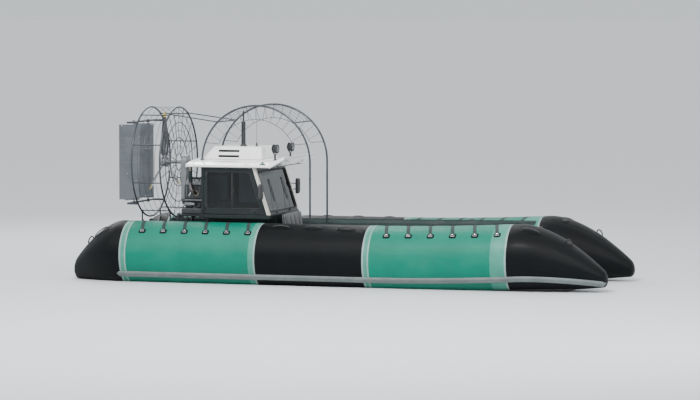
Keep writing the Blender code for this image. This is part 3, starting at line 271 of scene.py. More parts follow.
def finishPiece(name, finishName, node="", slotName="", side="", body="hull", sharpAt=38):
    # makes one mesh of what is gathered under the name
    mesh = bpy.data.meshes.new(name + side)
    points, faces = gathered.pop(name)
    mesh.from_pydata(points, [], faces)
    mesh.validate()
    mesh.polygons.foreach_set("use_smooth", [True] * len(mesh.polygons))
    mesh.set_sharp_from_angle(angle=radians(sharpAt))
    mesh.materials.append(finishes[finishName])
    piece = bpy.data.objects.new(name + side, mesh)
    bpy.context.scene.collection.objects.link(piece)
    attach(piece, body)
    if node:
        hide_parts(node + ("_" + side.lower() if side else ""))
    return piece


def finishPieces(side="", body="hull", **pieces):
    # name=finish, or name=(finish, the CAD node that it replaces, a slot name)
    for name, given in pieces.items():
        finishPiece(name, *([given] if isinstance(given, str) else given), side=side, body=body)


# Shader groups that several finishes share

def newGroup(name, inputs, outputs):
    group = bpy.data.node_groups.new(name, "ShaderNodeTree")
    for label, value in inputs.items():
        kind = {4: "Color", 3: "Vector"}.get(len(value), "Float") if isinstance(value, tuple) else "Float"
        made = group.interface.new_socket(name=label, in_out="INPUT", socket_type=f"NodeSocket{kind}")
        made.default_value = value
    for label in outputs:
        kind = "Color" if label == "Colour" else "Float"
        group.interface.new_socket(name=label, in_out="OUTPUT", socket_type=f"NodeSocket{kind}")
    return group, group.nodes.new("NodeGroupInput").outputs, group.nodes.new("NodeGroupOutput").inputs


def feed(tree, value, socket):
    # links an output, or sets a fixed value
    if hasattr(value, "is_output"):
        tree.links.new(value, socket)
    elif value is not None:
        socket.default_value = value


def placeNode(tree, kind, *values, **options):
    node = tree.nodes.new("ShaderNode" + kind)
    for key, value in options.items():
        setattr(node, key, value)
    for socket, value in zip(node.inputs, values):
        feed(tree, value, socket)
    return node


def calcNode(tree, operation, *values, clamp=False):
    return placeNode(tree, "Math", *values, operation=operation, use_clamp=clamp).outputs[0]


def mixColours(tree, share, first, second):
    node = placeNode(tree, "Mix", data_type="RGBA")
    for k, value in ((0, share), (6, first), (7, second)):
        feed(tree, value, node.inputs[k])
    return node.outputs[2]


def noiseNode(tree, vector, scale, detail=4, roughness=.6):
    node = placeNode(tree, "TexNoise")
    for key, value in (("Vector", vector), ("Scale", scale), ("Detail", detail), ("Roughness", roughness)):
        feed(tree, value, node.inputs[key])
    return node.outputs["Fac"]


def rangeNode(tree, value, low, high, toLow=0, toHigh=1):
    return placeNode(tree, "MapRange", value, low, high, toLow, toHigh,
        interpolation_type="SMOOTHSTEP").outputs[0]


def objectPlace(tree):
    return placeNode(tree, "TexCoord").outputs["Object"]


def stretchNode(tree, place, stretch):
    return placeNode(tree, "VectorMath", place, stretch, operation="MULTIPLY").outputs[0]


def makeGrimeGroup():
    # dull patches, and a film that thickens downward to a given height
    group, source, sink = newGroup("spray grime", {
        "Colour": (.5, .5, .5, 1), "Film Colour": (.3, .3, .28, 1), "Amount": .3, "Scale": 3,
        "Splash Height": .5, "Roughness": .4}, ("Colour", "Roughness", "Mask"))
    calc, spread, clouds = partial(calcNode, group), partial(rangeNode, group), partial(noiseNode, group)
    place = objectPlace(group)
    height = placeNode(group, "SeparateXYZ", place).outputs[2]
    broad = clouds(place, source["Scale"], 6, .62)
    fine = clouds(place, 46, 3, .7)
    streaks = clouds(stretchNode(group, place, (1, 1, .16)), 13, 4, .6)
    under = spread(height, source["Splash Height"], .02)
    patches, dashes = spread(broad, .46, .74), spread(streaks, .52, .78)
    mask = calc("ADD", calc("MULTIPLY", patches, .55), calc("MULTIPLY", dashes, .35))
    mask = calc("ADD", mask, calc("MULTIPLY", under, calc("ADD", broad, .2)))
    mask = calc("MULTIPLY", mask, source["Amount"], clamp=True)
    speckled = calc("MULTIPLY", mask, spread(fine, .3, .62, .55, 1), clamp=True)
    feed(group, mixColours(group, speckled, source["Colour"], source["Film Colour"]), sink["Colour"])
    rough = calc("ADD", source["Roughness"], calc("MULTIPLY", speckled, .35))
    feed(group, calc("ADD", rough, calc("MULTIPLY", calc("SUBTRACT", broad, .5), .12)), sink["Roughness"])
    feed(group, speckled, sink["Mask"])
    return group


def makeClothGroup():
    # the faint cloth print of coated fabric, with broad soft waves under it
    group, source, sink = newGroup("coated cloth relief", {
        "Thread Scale": 180, "Thread Depth": .25, "Wave Scale": 2.4, "Wave Depth": 1}, ("Height",))
    calc, place = partial(calcNode, group), objectPlace(group)
    heights = []
    for direction in ("X", "Z"):
        wave = placeNode(group, "TexWave", bands_direction=direction)
        for key, value in (("Distortion", .6), ("Vector", place), ("Scale", source["Thread Scale"])):
            feed(group, value, wave.inputs[key])
        heights.append(wave.outputs["Fac"])
    threads = calc("MULTIPLY", calc("MAXIMUM", *heights), source["Thread Depth"])
    waves = calc("MULTIPLY", noiseNode(group, place, source["Wave Scale"], 3, .5), source["Wave Depth"])
    feed(group, calc("ADD", threads, waves), sink["Height"])
    return group


def makeScuffGroup():
    # long fine scuffs, as a mask and a height
    group, source, sink = newGroup("long scuffs", {
        "Scale": 9, "Stretch": (.06, 1, 1), "Low": .6, "High": .72}, ("Mask", "Height"))
    calc, place = partial(calcNode, group), objectPlace(group)
    stretched = stretchNode(group, place, source["Stretch"])
    lines = noiseNode(group, stretched, calc("MULTIPLY", source["Scale"], 6), 5, .7)
    worn = noiseNode(group, place, source["Scale"], 3, .6)
    mask = rangeNode(group, lines, source["Low"], source["High"])
    feed(group, calc("MULTIPLY", mask, rangeNode(group, worn, .42, .6), clamp=True), sink["Mask"])
    feed(group, calc("MULTIPLY", lines, -1), sink["Height"])
    return group


def makeGrainGroup():
    # moulded plastic, leather or cast grain
    group, source, sink = newGroup("pebble grain", {"Scale": 300, "Depth": 1}, ("Height", "Mottle"))
    place = objectPlace(group)
    cells = placeNode(group, "TexVoronoi", feature="SMOOTH_F1")
    feed(group, place, cells.inputs["Vector"])
    feed(group, source["Scale"], cells.inputs["Scale"])
    feed(group, calcNode(group, "MULTIPLY", cells.outputs["Distance"], source["Depth"]), sink["Height"])
    feed(group, noiseNode(group, place, 7, 5, .65), sink["Mottle"])
    return group


def makePlateGroup():
    # raised bars of tread plate, turned by quarter turns from one to the next
    group, source, sink = newGroup("tread plate bars", {"Pitch": .045}, ("Height", "Mask"))
    calc = partial(calcNode, group)
    across, along, _ = placeNode(group, "SeparateXYZ", objectPlace(group)).outputs
    rising = calc("DIVIDE", calc("ADD", across, along), source["Pitch"])
    falling = calc("DIVIDE", calc("SUBTRACT", across, along), source["Pitch"])
    cells = calc("FLOOR", rising), calc("FLOOR", falling)
    parity = calc("FLOORED_MODULO", calc("ADD", *cells), 2)
    parts = [calc("SUBTRACT", calc("FRACT", share), .5) for share in (rising, falling)]
    bars = []
    for longWay, shortWay in (parts, parts[::-1]):
        far = calc("POWER", calc("DIVIDE", longWay, .4), 2)
        wide = calc("POWER", calc("DIVIDE", shortWay, .12), 2)
        bars.append(rangeNode(group, calc("ADD", far, wide), 1, .35))
    chosen = calc("ADD", calc("MULTIPLY", bars[0], parity),
        calc("MULTIPLY", bars[1], calc("SUBTRACT", 1, parity)))
    feed(group, chosen, sink["Height"])
    feed(group, chosen, sink["Mask"])
    return group


sharedGroups = {
    "grime": makeGrimeGroup(), "cloth": makeClothGroup(), "scuffs": makeScuffGroup(),
    "grain": makeGrainGroup(), "plate": makePlateGroup(),
}
print("shader groups ready:", len(sharedGroups))

# Finishes

finishInputs = {
    "metal": "Metallic", "coat": "Coat Weight", "coatRough": "Coat Roughness",
    "specular": "Specular IOR Level", "sheen": "Sheen Weight",
}
groupInputs = {
    "plate": ("Pitch",), "scuffs": ("Scale", "Low", "High"), "grain": ("Scale", "Depth"),
    "cloth": ("Thread Scale", "Thread Depth", "Wave Scale", "Wave Depth"),
}
plainFilm = (.35, .34, .3)
tubeCloth = (170, .12, 2.2, 1, .006)
finishSettings = {
    # slot, roughness, colour, second colour, film's colour, grime, splash height and what only some have:
    # cloth, grain, scuffs and plate hold the group's inputs, then the relief in metres and any colour
    "greenPvc": ("green_pvc", .36, (0, .158, .102), (.001, .19, .124), (.03, .14, .105), .34, .42,
                 {"mottle": 1.6, "coat": .05, "coatRough": .16, "specular": .2, "cloth": tubeCloth}),
    "blackPvc": ("black_pvc", .4, (.001, .0018, .0024), (.0018, .0028, .0035), (.0055, .0072, .008),
                 .3, .42, {"mottle": 1.6, "coat": .02, "coatRough": .18, "specular": .13,
                           "cloth": tubeCloth}),
    "seamTape": ("grey_rubber", .4, (.045, .235, .17), (.065, .265, .2), (.05, .14, .11), .34, .45,
                 {"specular": .25, "cloth": (170, .2, 9, .4, .002)}),
    "seamEdge": ("grey_rubber", .42, (.2, .31, .28), (.25, .35, .32), (.16, .2, .18), .3, .45, {}),
    "strakeRubber": ("grey_rubber", .52, (.125, .15, .145), (.165, .19, .185), (.12, .13, .12), .4, .35,
                     {"scuffs": (7, .56, .7, .0004, (.26, .29, .28))}),
    "runnerPlastic": ("runner_plastic", .48, (.018, .019, .021), None, (.09, .09, .08), .4, .55,
                      {"scuffs": (8, .54, .68, .0008, (.1, .1, .1))}),
    "webbing": ("webbing", .78, (.012, .026, .026), (.018, .036, .035), plainFilm, .15, .55,
                {"mottle": 30, "cloth": (90, 1, 12, .2, .0012)}),
    "bareAluminium": ("hull_metal", .42, (.46, .48, .49), (.38, .4, .41), (.2, .2, .18), .38, .4,
                      {"mottle": 2.5, "metal": .85, "scuffs": (6, .55, .72, .0004, (.62, .63, .63))}),
    "rudderSheet": ("hull_metal", .44, (.17, .185, .2), (.13, .145, .16), (.1, .1, .095), .3, 1.5,
                    {"mottle": 3, "metal": .75, "scuffs": (6, .57, .73, .0004, (.3, .31, .32))}),
    "treadPlate": ("hull_metal", .46, (.3, .31, .32), None, (.14, .135, .12), .45, .36,
                   {"metal": .8, "plate": (.046, .0022, (.52, .53, .53))}),
    "deckMat": ("hull_metal", .82, (.055, .06, .062), (.075, .08, .082), (.2, .19, .17), .35, .55,
                {"mottle": 9, "grain": (230, 1, .0016)}),
    "cabinPaint": ("cabin_dark", .38, (.0036, .0085, .009), (.0054, .0115, .012), (.02, .026, .025), .22,
                   1.3, {"coat": .2, "coatRough": .12, "specular": .35, "grain": (900, .4, .0002)}),
    "roofGelcoat": ("roof_white", .26, (.95, .95, .935), (.92, .92, .905), (.6, .585, .54), .16, 1.98,
                    {"coat": .5, "coatRough": .08}),
    "framePosts": ("cabin_dark", .4, (.62, .6, .54), (.56, .54, .48), (.3, .29, .26), .3, 1.4, {}),
    "framePaint": ("frame_black", .38, (.022, .024, .027), (.03, .032, .036), (.12, .115, .1), .25, .55,
                   {"metal": .25, "grain": (700, .5, .0003)}),
    "cageMetal": ("cage_metal", .36, (.055, .062, .072), (.075, .082, .092), (.12, .12, .115), .2, .55,
                  {"metal": .7}),
    "castAlloy": ("engine_metal", .46, (.33, .34, .35), (.26, .27, .28), (.07, .06, .05), .5, 1.5,
                  {"metal": .85, "grain": (380, 1, .0006)}),
    "blockPaint": ("engine_metal", .42, (.045, .05, .055), (.065, .07, .075), (.1, .09, .075), .4, 1.4,
                   {"metal": .3, "grain": (330, 1, .0008)}),
    "finnedCore": ("engine_metal", .55, (.05, .052, .055), None, (.14, .12, .1), .3, 1.5,
                   {"metal": .5, "cloth": (26, 1, 2, .1, .004)}),
    "exhaustSteel": ("exhaust_steel", .36, (.42, .36, .29), (.22, .19, .22), (.09, .065, .045), .5, 1.7,
                     {"mottle": 4, "metal": .95}),
    "stainless": ("cage_metal", .2, (.6, .61, .62), None, (.3, .29, .27), .15, .55,
                  {"metal": 1, "scuffs": (12, .58, .72, .0004, (.42, .43, .44))}),
    "bladeCarbon": ("prop_composite", .24, (.016, .017, .019), (.024, .025, .028), plainFilm, .12, .55,
                    {"mottle": 40, "coat": .8, "coatRough": .06, "cloth": (120, 1, 3, .1, .0003)}),
    "tipPaint": ("prop_composite", .34, (.72, .55, .05), (.64, .48, .04), plainFilm, .25, .55,
                 {"scuffs": (14, .55, .7, .0004, (.1, .09, .07))}),
    "seatVinyl": ("seat_vinyl", .5, (.03, .032, .036), (.038, .04, .045), (.16, .15, .14), .2, .5,
                  {"sheen": .15, "grain": (420, 1, .0006)}),
    "seatPiping": ("seat_vinyl", .5, (.16, .17, .175), (.2, .21, .215), plainFilm, .2, .55,
                   {"grain": (600, 1, .0003)}),
    "mouldedPlastic": ("mirror_black", .52, (.022, .023, .025), (.03, .031, .033), (.14, .13, .12), .22, .55,
                       {"grain": (520, 1, .0004)}),
    "gasketRubber": ("mirror_black", .62, (.013, .013, .014), (.02, .02, .021), (.11, .11, .1), .25, 1.4, {}),
    "mirrorGlass": ("mirror_black", .03, (.82, .84, .85), None, plainFilm, .05, .55, {"metal": 1}),
    "reflector": ("frame_black", .16, (.8, .8, .78), None, plainFilm, .05, .55, {"metal": 1}),
    "gaugeFace": ("frame_black", .3, (.03, .03, .032), None, plainFilm, .05, .55,
                  {"coat": 1, "coatRough": .03}),
    "whiteMark": ("roof_white", .45, (.75, .75, .72), None, plainFilm, .1, .55, {}),
    "redLens": ("glass_tint", .14, (.45, .012, .01), None, plainFilm, .08, .55,
                {"coat": .8, "coatRough": .05}),
    "greenLens": ("glass_tint", .14, (.01, .3, .1), None, plainFilm, .08, .55,
                  {"coat": .8, "coatRough": .05}),
}


def rgba(colour):
    return (*colour, 1)


def newMaterial(name, colour):
    material = bpy.data.materials.new(name)
    material.use_nodes = True
    material.diffuse_color = rgba(colour)
    return material, material.node_tree, material.node_tree.nodes["Principled BSDF"].inputs


def makeFinish(name):
    slotName, roughness, first, second, film, amount, splash, extras = finishSettings[name]
    finish, tree, shader = newMaterial(name, first)
    for key, label in finishInputs.items():
        feed(tree, extras.get(key), shader[label])
    colour = rgba(first)
    if second:
        clouds = noiseNode(tree, objectPlace(tree), extras.get("mottle", 5), 5, .6)
        colour = mixColours(tree, rangeNode(tree, clouds, .35, .68), colour, rgba(second))

    def placeGroup(key, values):
        node = placeNode(tree, "Group", node_tree=sharedGroups[key])
        for label, value in values.items():
            feed(tree, value, node.inputs[label])
        return node.outputs

    heights = []
    for key in ("plate", "scuffs", "cloth", "grain"):
        if key in extras:
            labels = groupInputs[key]
            outputs = placeGroup(key, dict(zip(labels, extras[key])))
            depth, *worn = extras[key][len(labels):]
            if worn:
                colour = mixColours(tree, outputs["Mask"], colour, rgba(worn[0]))
            heights.append((outputs["Height"], depth))
    grime = placeGroup("grime", {
        "Colour": colour, "Film Colour": rgba(film), "Amount": amount,
        "Splash Height": splash, "Roughness": roughness})
    feed(tree, grime["Colour"], shader["Base Color"])
    feed(tree, grime["Roughness"], shader["Roughness"])
    normal = None
    for height, depth in heights:
        bump = placeNode(tree, "Bump")
        for label, value in (("Strength", 1), ("Distance", depth), ("Height", height), ("Normal", normal)):
            feed(tree, value, bump.inputs[label])
        normal = bump.outputs["Normal"]
    feed(tree, normal, shader["Normal"])
    return finish


def darkenRails(finish):
    # the windscreen frame has pale side posts and dark cross rails
    tree = finish.node_tree
    across = placeNode(tree, "SeparateXYZ", objectPlace(tree)).outputs[1]
    share = rangeNode(tree, calcNode(tree, "ABSOLUTE", across), .706, .714)
    colour = next(node for node in tree.nodes if node.type == "GROUP").inputs["Colour"]
    dark = rgba(finishSettings["cabinPaint"][2])
    feed(tree, mixColours(tree, share, dark, colour.links[0].from_socket), colour)


def makeGlass(name, tint, roughness, amount):
    glass, tree, shader = newMaterial(name, tint)
    for label, value in (("Transmission Weight", amount), ("IOR", 1.45), ("Specular IOR Level", .35)):
        feed(tree, value, shader[label])
    film = rangeNode(tree, noiseNode(tree, objectPlace(tree), 4, 3, .5), .45, .85)
    share = calcNode(tree, "MULTIPLY", film, .1)
    feed(tree, mixColours(tree, share, rgba(tint), rgba([.8 * part for part in tint])), shader["Base Color"])
    feed(tree, calcNode(tree, "ADD", calcNode(tree, "MULTIPLY", film, .05), roughness), shader["Roughness"])
    return glass


finishes = {name: makeFinish(name) for name in finishSettings}
darkenRails(finishes["framePosts"])
finishes["cabinGlass"] = makeGlass("cabinGlass", (.105, .13, .135), 0, 1)
finishes["lampGlass"] = makeGlass("lampGlass", (.86, .89, .9), .03, .9)
print("finishes ready:", len(finishes))

# CAD nodes that keep their shape and take a finish

dressings = {
    # node: finish, eased edge in metres
    "hull_pan": ("bareAluminium", .008), "deck_floor": ("treadPlate", .002), "cargo_deck": ("deckMat", .003),
    "cabin_tub": ("cabinPaint", .006), "cabin_rear_wall": ("cabinPaint", .003),
    "cabin_front_frame": ("framePosts", .006), "door_stbd": ("cabinPaint", .004),
    "door_port": ("cabinPaint", .004), "cabin_roof": ("roofGelcoat", .01), "roof_pod": ("roofGelcoat", 0),
    "rear_window": ("cabinGlass", 0), "windscreen": ("cabinGlass", 0),
    "door_window_stbd": ("cabinGlass", 0), "door_window_port": ("cabinGlass", 0), "engine": ("blockPaint", 0),
    "drive_case": ("castAlloy", .008), "radiator": ("finnedCore", .003), "fuel_tank": ("mouldedPlastic", 0),
    "bench_locker": ("bareAluminium", .004), "bench_lid": ("bareAluminium", .003),
    "tie_bar": ("stainless", .001), "dashboard": ("mouldedPlastic", .006),
}
for nodeName, (finishName, ease) in dressings.items():
    node = cadNodes[nodeName]
    node.data.materials.clear()
    node.data.materials.append(finishes[finishName])
    if ease:
        node.modifiers.new("Weld", "WELD").merge_threshold = .00002
        bevel = node.modifiers.new("Bevel", "BEVEL")
        bevel.width, bevel.segments, bevel.limit_method, bevel.angle_limit = ease, 2, "ANGLE", radians(32)
print("nodes dressed:", len(dressings))

# Inflatable tubes: round, seamed and pressed in a little under the straps

tubeSettings = Settings(
    length=8.9, radius=.5355, spacing=2.05, around=96, step=.024, coneLength=.85, coneEnd=.138,
    coneRise=.115, conePower=1.65, rockerStart=5.07, rockerRise=.18, noseStart=7.5, noseEnd=.108,
    nosePower=1.7, tipRound=.06, keel=.014, strapPress=.007, seamPress=.004, gorePress=.004, gores=9,
    bands={
        "stern": (0, .98), "aft": (.98, 3.25), "mid": (3.25, 5.07), "fore": (5.07, 7.37), "bow": (7.37, 8.9),
    },
    # first and last station of the seam tapes and of their pale edges
    tapes=((.985, 1.075), (3.155, 3.245), (5.075, 5.165), (7.13, 7.365)), tapeProud=.0012,
    edges=((.96, .988), (1.05, 1.075), (3.242, 3.27), (5.05, 5.078), (5.14, 5.162), (7.36, 7.39)),
    edgeProud=.0019,
)
strapSettings = Settings(
    pitch=.36, count=6, slant=.17, width=.056, thickness=.006,
    low=radians(50.6), high=radians(129.4), railAngle=radians(123.7), beadRadius=.011,
)
strapLow, strapHigh = strapSettings.low, strapSettings.high


def strapStations():
    pitch, count = strapSettings.pitch, strapSettings.count
    found = []
    for first, last in (tubeSettings.bands["aft"], tubeSettings.bands["fore"]):
        spare = (last - first) - pitch * (count - 1)
        found += [first + spare / 2 + pitch * k for k in range(count)]
    return found


strapPlaces = strapStations()


def strapMiddle(station, angle):
    return station + strapSettings.slant * (.5 - (angle - strapLow) / (strapHigh - strapLow))


def tubeShape(station):
    # centre height and radius of the tube at a station
    s = tubeSettings
    radius, lift = s.radius, 0
    if station < s.coneLength:
        share = (1 - station / s.coneLength) ** s.conePower
        radius -= (s.radius - s.coneEnd) * share
        lift = s.coneRise * share
    if station > s.noseStart:
        share = ((station - s.noseStart) / (s.length - s.noseStart)) ** s.nosePower
        radius -= (s.radius - s.noseEnd) * share
    rocker = max(0, station - s.rockerStart) / (s.length - s.rockerStart)
    centre = s.keel + s.rockerRise * rocker**2 + lift + radius + .002
    reach = min(station, s.length - station) / s.tipRound
    if reach < 1:
        radius *= max(.12, sqrt(max(0, 1 - (1 - reach) ** 2)))
    return centre, radius


def pressedIn(station, angle):
    # how far the skin is pulled in at a place, by straps, seams and the gores of the ends
    s = tubeSettings
    depth = 0
    if strapLow - .12 < angle < strapHigh + .12:
        inside = min(1, (angle - strapLow + .12) / .24, (strapHigh + .12 - angle) / .24)
        for away in (station - strapMiddle(place, angle) for place in strapPlaces):
            if abs(away) < .16:
                depth += s.strapPress * exp(-((away / .045) ** 2)) * max(0, inside)
    for edge, _ in list(s.bands.values())[1:]:
        if abs(station - edge) < .12:
            depth += s.seamPress * exp(-(((station - edge) / .035) ** 2))
    reach = max(0, .8 - station) + max(0, station - 7.55)
    if reach > 0:
        gap = (angle * s.gores / (2 * pi)) % 1
        gap = min(gap, 1 - gap) * 2 * pi / s.gores * tubeShape(station)[1]
        depth += s.gorePress * min(1, reach / .25) * exp(-((gap / .016) ** 2))
        ripple = noise.noise(vec(station * 3, cos(angle) * 4, sin(angle) * 4))
        depth += .0035 * min(1, reach / .3) * (.5 + .5 * ripple)
    return depth


def tubePoint(station, angle, side, proud=0):
    # angle 0 is level on the outer side, a quarter turn is the top
    centre, radius = tubeShape(station)
    reach = radius + proud
    y = side * (tubeSettings.spacing / 2 + reach * cos(angle))
    return (station - midStation, y, centre + reach * sin(angle))


def tubeNormal(angle, side):
    return vec(0, side * cos(angle), sin(angle))


def tubeRow(station, side):
    row = [tubePoint(station, angle, side, -pressedIn(station, angle if angle < 5.5 else angle - 2 * pi))
           for angle in turns(tubeSettings.around)]
    return row[::side]


def bandStations(first, last):
    count = max(2, round((last - first) / tubeSettings.step))
    found = [first + (last - first) * k / count for k in range(count + 1)]
    if first == 0:
        found[:1] = [0, .004, .012]
    if last == tubeSettings.length:
        found[-1:] = [last - .012, last - .004, last]
    return found


def wrappedBand(name, first, last, side, proud, under, low=0, high=2 * pi, rim=.004):
    # a strip that follows the pressed-in skin, closed round the tube or between two angles
    whole = high - low > 6.28
    count = 96 if whole else max(4, round((high - low) / .06))
    angles = [low + (high - low) * k / count for k in range(count + (not whole))]
    steps = max(3, round((last - first) / .02))
    inner = [first + (last - first) * k / steps for k in range(1, steps)]
    stations = [first, first + rim, *inner, last - rim, last]
    rows = []
    for station in stations:
        lift = proud - .0012 * (station in (first, last))
        rows.append([tubePoint(station, angle, side, lift - pressedIn(station, angle)) for angle in angles])
    rows += [[tubePoint(station, angle, side, -under) for angle in angles] for station in (last, first)]
    rows = [row[::side] for row in rows]
    if whole:
        skin(name, rows, closed=True)
    else:
        skin(name, [list(row)[::-1] for row in zip(*rows)])


for side, sideName in bothSides:
    for band, (first, last) in tubeSettings.bands.items():
        pieceName = f"tubeSkin{sideName}{band.title()}"
        skin(pieceName, [tubeRow(station, side) for station in bandStations(first, last)])
        finishName = "greenPvc" if band in ("aft", "fore") else "blackPvc"
        finishPiece(pieceName, finishName, f"tube_{sideName.lower()}_{band}", sharpAt=50)
print("tube skins ready")

for side, sideName in bothSides:
    for name, spans, proud in (("seamTapes", "tapes", "tapeProud"), ("seamEdges", "edges", "edgeProud")):
        for first, last in tubeSettings[spans]:
            wrappedBand(name, first, last, side, tubeSettings[proud], .012)
    finishPieces(sideName, seamTapes="seamTape", seamEdges="seamEdge")


# Straps, the rail that they lash down, and what is glued to the tubes

def addStrap(place, side):
    # one webbing strap over the shoulder, leaning aft as it climbs
    rows = []
    for k in range(29):
        angle = strapLow - .03 + (strapHigh - strapLow + .03) * k / 28
        middle = strapMiddle(place, angle)
        pressed = .8 * pressedIn(middle, angle)
        row = []
        for edge, lift in ((-1, -.3), (-1, .5), (-.86, 1), (.86, 1), (1, .5), (1, -.3)):
            station = middle + edge * strapSettings.width / 2
            row.append(tubePoint(station, angle, side, lift * strapSettings.thickness - pressed))
        rows.append(row[::-side])
    skin("lacing", rows)


def addPatch(name, station, angle, side, length, width, proud=.003, sides=28, corner=.5):
    # a glued patch with rounded corners that follows the tube
    radius, pressed = tubeShape(station)[1], pressedIn(station, angle)
    rows = []
    for share, lift in ((1, -.004), (1, proud * .4), (.96, proud), (.5, proud), (.12, proud)):
        row = []
        for u, v in (rounded(turn, corner) for turn in turns(sides)):
            across = v * share * width / 2 / radius
            row.append(tubePoint(station + u * share * length / 2, angle + across, side, lift - pressed))
        rows.append(row[::-side])
    skin(name, rows)


def addDRing(station, angle, side, size=.03):
    # a wire ring that lies on its patch
    foot = Vector(tubePoint(station, angle, side, .006))
    across, out = vec(0, -side * sin(angle), cos(angle)), tubeNormal(angle, side)
    hose("strapRings", [
        foot + alongX * cos(turn) * size - across * (min(sin(turn), .45) * size + size * .2)
        + out * (.004 + .004 * sin(turn)) for turn in turns(20)], .0045, 8, closed=True)


for side, sideName in bothSides:
    for place in strapPlaces:
        foot = strapLow - .05
        addStrap(place, side)
        addPatch("strapPatches", strapMiddle(place, foot), foot, side, .12, .1)
        addDRing(strapMiddle(place, foot), foot, side)
    first, last, rail = 1.03, 7.32, strapSettings.railAngle
    wrappedBand("lacing", first, last, side, .0065, .004, rail - .1, rail + .1)
    bead = [tubePoint(first + (last - first) * k / 130, rail, side, .01) for k in range(131)]
    hose("lacing", bead, strapSettings.beadRadius, 10)
    finishPieces(sideName, lacing=("webbing", "lacing"), strapPatches="blackPvc", strapRings="stainless")
print("lacing ready")

strakeSettings = Settings(angle=radians(-33.75), half=.052, depth=.025, first=.9, last=8.885, count=200)
strakeSection = ((-1, -.06), (-1, .3), (-.92, .55), (-.72, .8), (-.45, .96), (-.16, 1), (-.08, .9))
runnerSettings = Settings(
    low=radians(-117.5), high=radians(-62.5), proud=.0145, first=.92, last=8.38, lengths=5,
)


def addStrake(side):
    s = strakeSettings
    rows = []
    for k in range(s.count + 1):
        station = s.first + (s.last - s.first) * k / s.count
        reach = min(1, min(station - s.first, s.last - station) / .06)
        swell = sqrt(max(.03, 1 - (1 - reach) ** 2))
        wide, radius = s.half, max(tubeShape(station)[1], .1)
        row = [tubePoint(station, s.angle + t * wide * swell / radius, side, lift * s.depth * swell)
               for t, lift in (*strakeSection, *((-t, lift) for t, lift in strakeSection[::-1]))]
        rows.append(row[::side])
    skin("strake", rows)


def addRunner(side):
    s = runnerSettings
    span, down = (s.last - s.first) / s.lengths, pi / 2
    angles = [s.low + (s.high - s.low) * k / 24 for k in range(25)]
    for part in range(s.lengths):
        first = s.first + span * part + .004
        last = first + span - .008
        count = max(12, round(span / .05))
        rows = []
        for station in (first + (last - first) * k / count for k in range(count + 1)):
            reach = min(1, min(station - first, last - station) / .02 + .5)
            tight = min(1, (tubeShape(station)[1] / .535))
            outer = [tubePoint(station, -down + (a + down) * tight, side, s.proud * reach) for a in angles]
            inner = [tubePoint(station, -down + (a + down) * tight, side, -.002) for a in reversed(angles)]
            rows.append((outer + inner)[::side])
        skin("runner", rows)


fittingSettings = Settings(
    # station and angle in degrees
    valves=((.62, 112), (2.12, 112), (4.16, 112), (6.2, 112), (7.78, 108)),
    handles=((3.62, 66), (4.16, 66), (4.7, 66), (.55, 62), (7.72, 62)),
    tows=((8.3, 78), (.3, 78)),
)
valveProfile = mm(-10, 40, 6, 40, 9, 36, 10, 26, 17, 24, 20, 20, 20, 6, 16, 4)
for side, sideName in bothSides:
    addStrake(side)
    addRunner(side)
    for k, angle in product(range(26), (radians(-67), radians(-113))):
        place = tubePoint(1.05 + .285 * k, angle, side, runnerSettings.proud - .001)
        head = mm(0, 11, 1.2, 10, 1.4, 5, .6, 4)
        turned("runnerBolts", head, place, tubeNormal(angle, side), 10)
    finishPieces(sideName, strake=("strakeRubber", "strake"), runner=("runnerPlastic", "runner"),
        runnerBolts="stainless")

fittings = [(kind, *place) for kind, places in fittingSettings.items() for place in places]
for side, sideName in bothSides:
    for kind, station, tilt in fittings:
        angle = radians(tilt)
        out = tubeNormal(angle, side)
        if kind == "valves":
            addPatch("tubePatches", station, angle, side, .15, .15, .002, 36, 1)
            turned("tubeValves", valveProfile, tubePoint(station, angle, side), out)
            for turn in turns(6):
                along = alongX * cos(turn) + vec(0, -side * sin(angle), cos(angle)) * sin(turn)
                place = Vector(tubePoint(station, angle, side, .008)) + along * .031
                turned("tubeValves", mm(0, 4, 3, 3), place, out, 6)
        elif kind == "handles":
            addPatch("tubePatches", station, angle, side, .34, .13, .0025, 40, .4)
            grip = [tubePoint(station - .13 + .26 * k / 24, angle, side,
                              .036 * sin(pi * k / 24) ** .45 + .002) for k in range(25)]
            hose("tubeHandles", grip, .016, 12, flat=.5, up=out)
        else:
            addPatch("tubePatches", station, angle, side, .2, .16, .003, 36, .8)
            loop = [tubePoint(station + .045 * cos(pi * k / 20), angle, side,
                              .002 + .055 * sin(pi * k / 20)) for k in range(21)]
            hose("tubeHandles", loop, .011, 10)
    finishPieces(sideName, tubeValves="mouldedPlastic", tubeHandles=("gasketRubber", "", "webbing"),
        tubePatches="blackPvc")
print("tube fittings ready")

# Propeller cage: front grille, rear hoop, rudder beams and side frames

shaftHeight, deckTop = 2, .3266
cageSettings = Settings(
    radius=.905, rear=.94, front=1.43, hoop=.0148, rings=(.15, .44, .72), ringBar=.0078,
    thinRings=(.295, .58, .86), thinBar=.0036, spokes=12, spokeBar=.0058, stringerBar=.0098,
    stringers=(-60, -20, 20, 60, 120, 160, 200, 240), sideHoops=(1.04, 1.14, 1.24, 1.34),
    beamRise=.665, beamStation=.76, beamBar=.0158, bossOffset=.33, legOffset=.42,
)
cageRadius, cageRear, cageFront, hoopBar = list(cageSettings.values())[:4]


def aroundShaft(station, radius, degrees):
    angle = radians(degrees)
    return spot(station, radius * cos(angle), shaftHeight + radius * sin(angle))


def hoopTangent(place):
    return vec(0, -(place.z - shaftHeight), place.y)


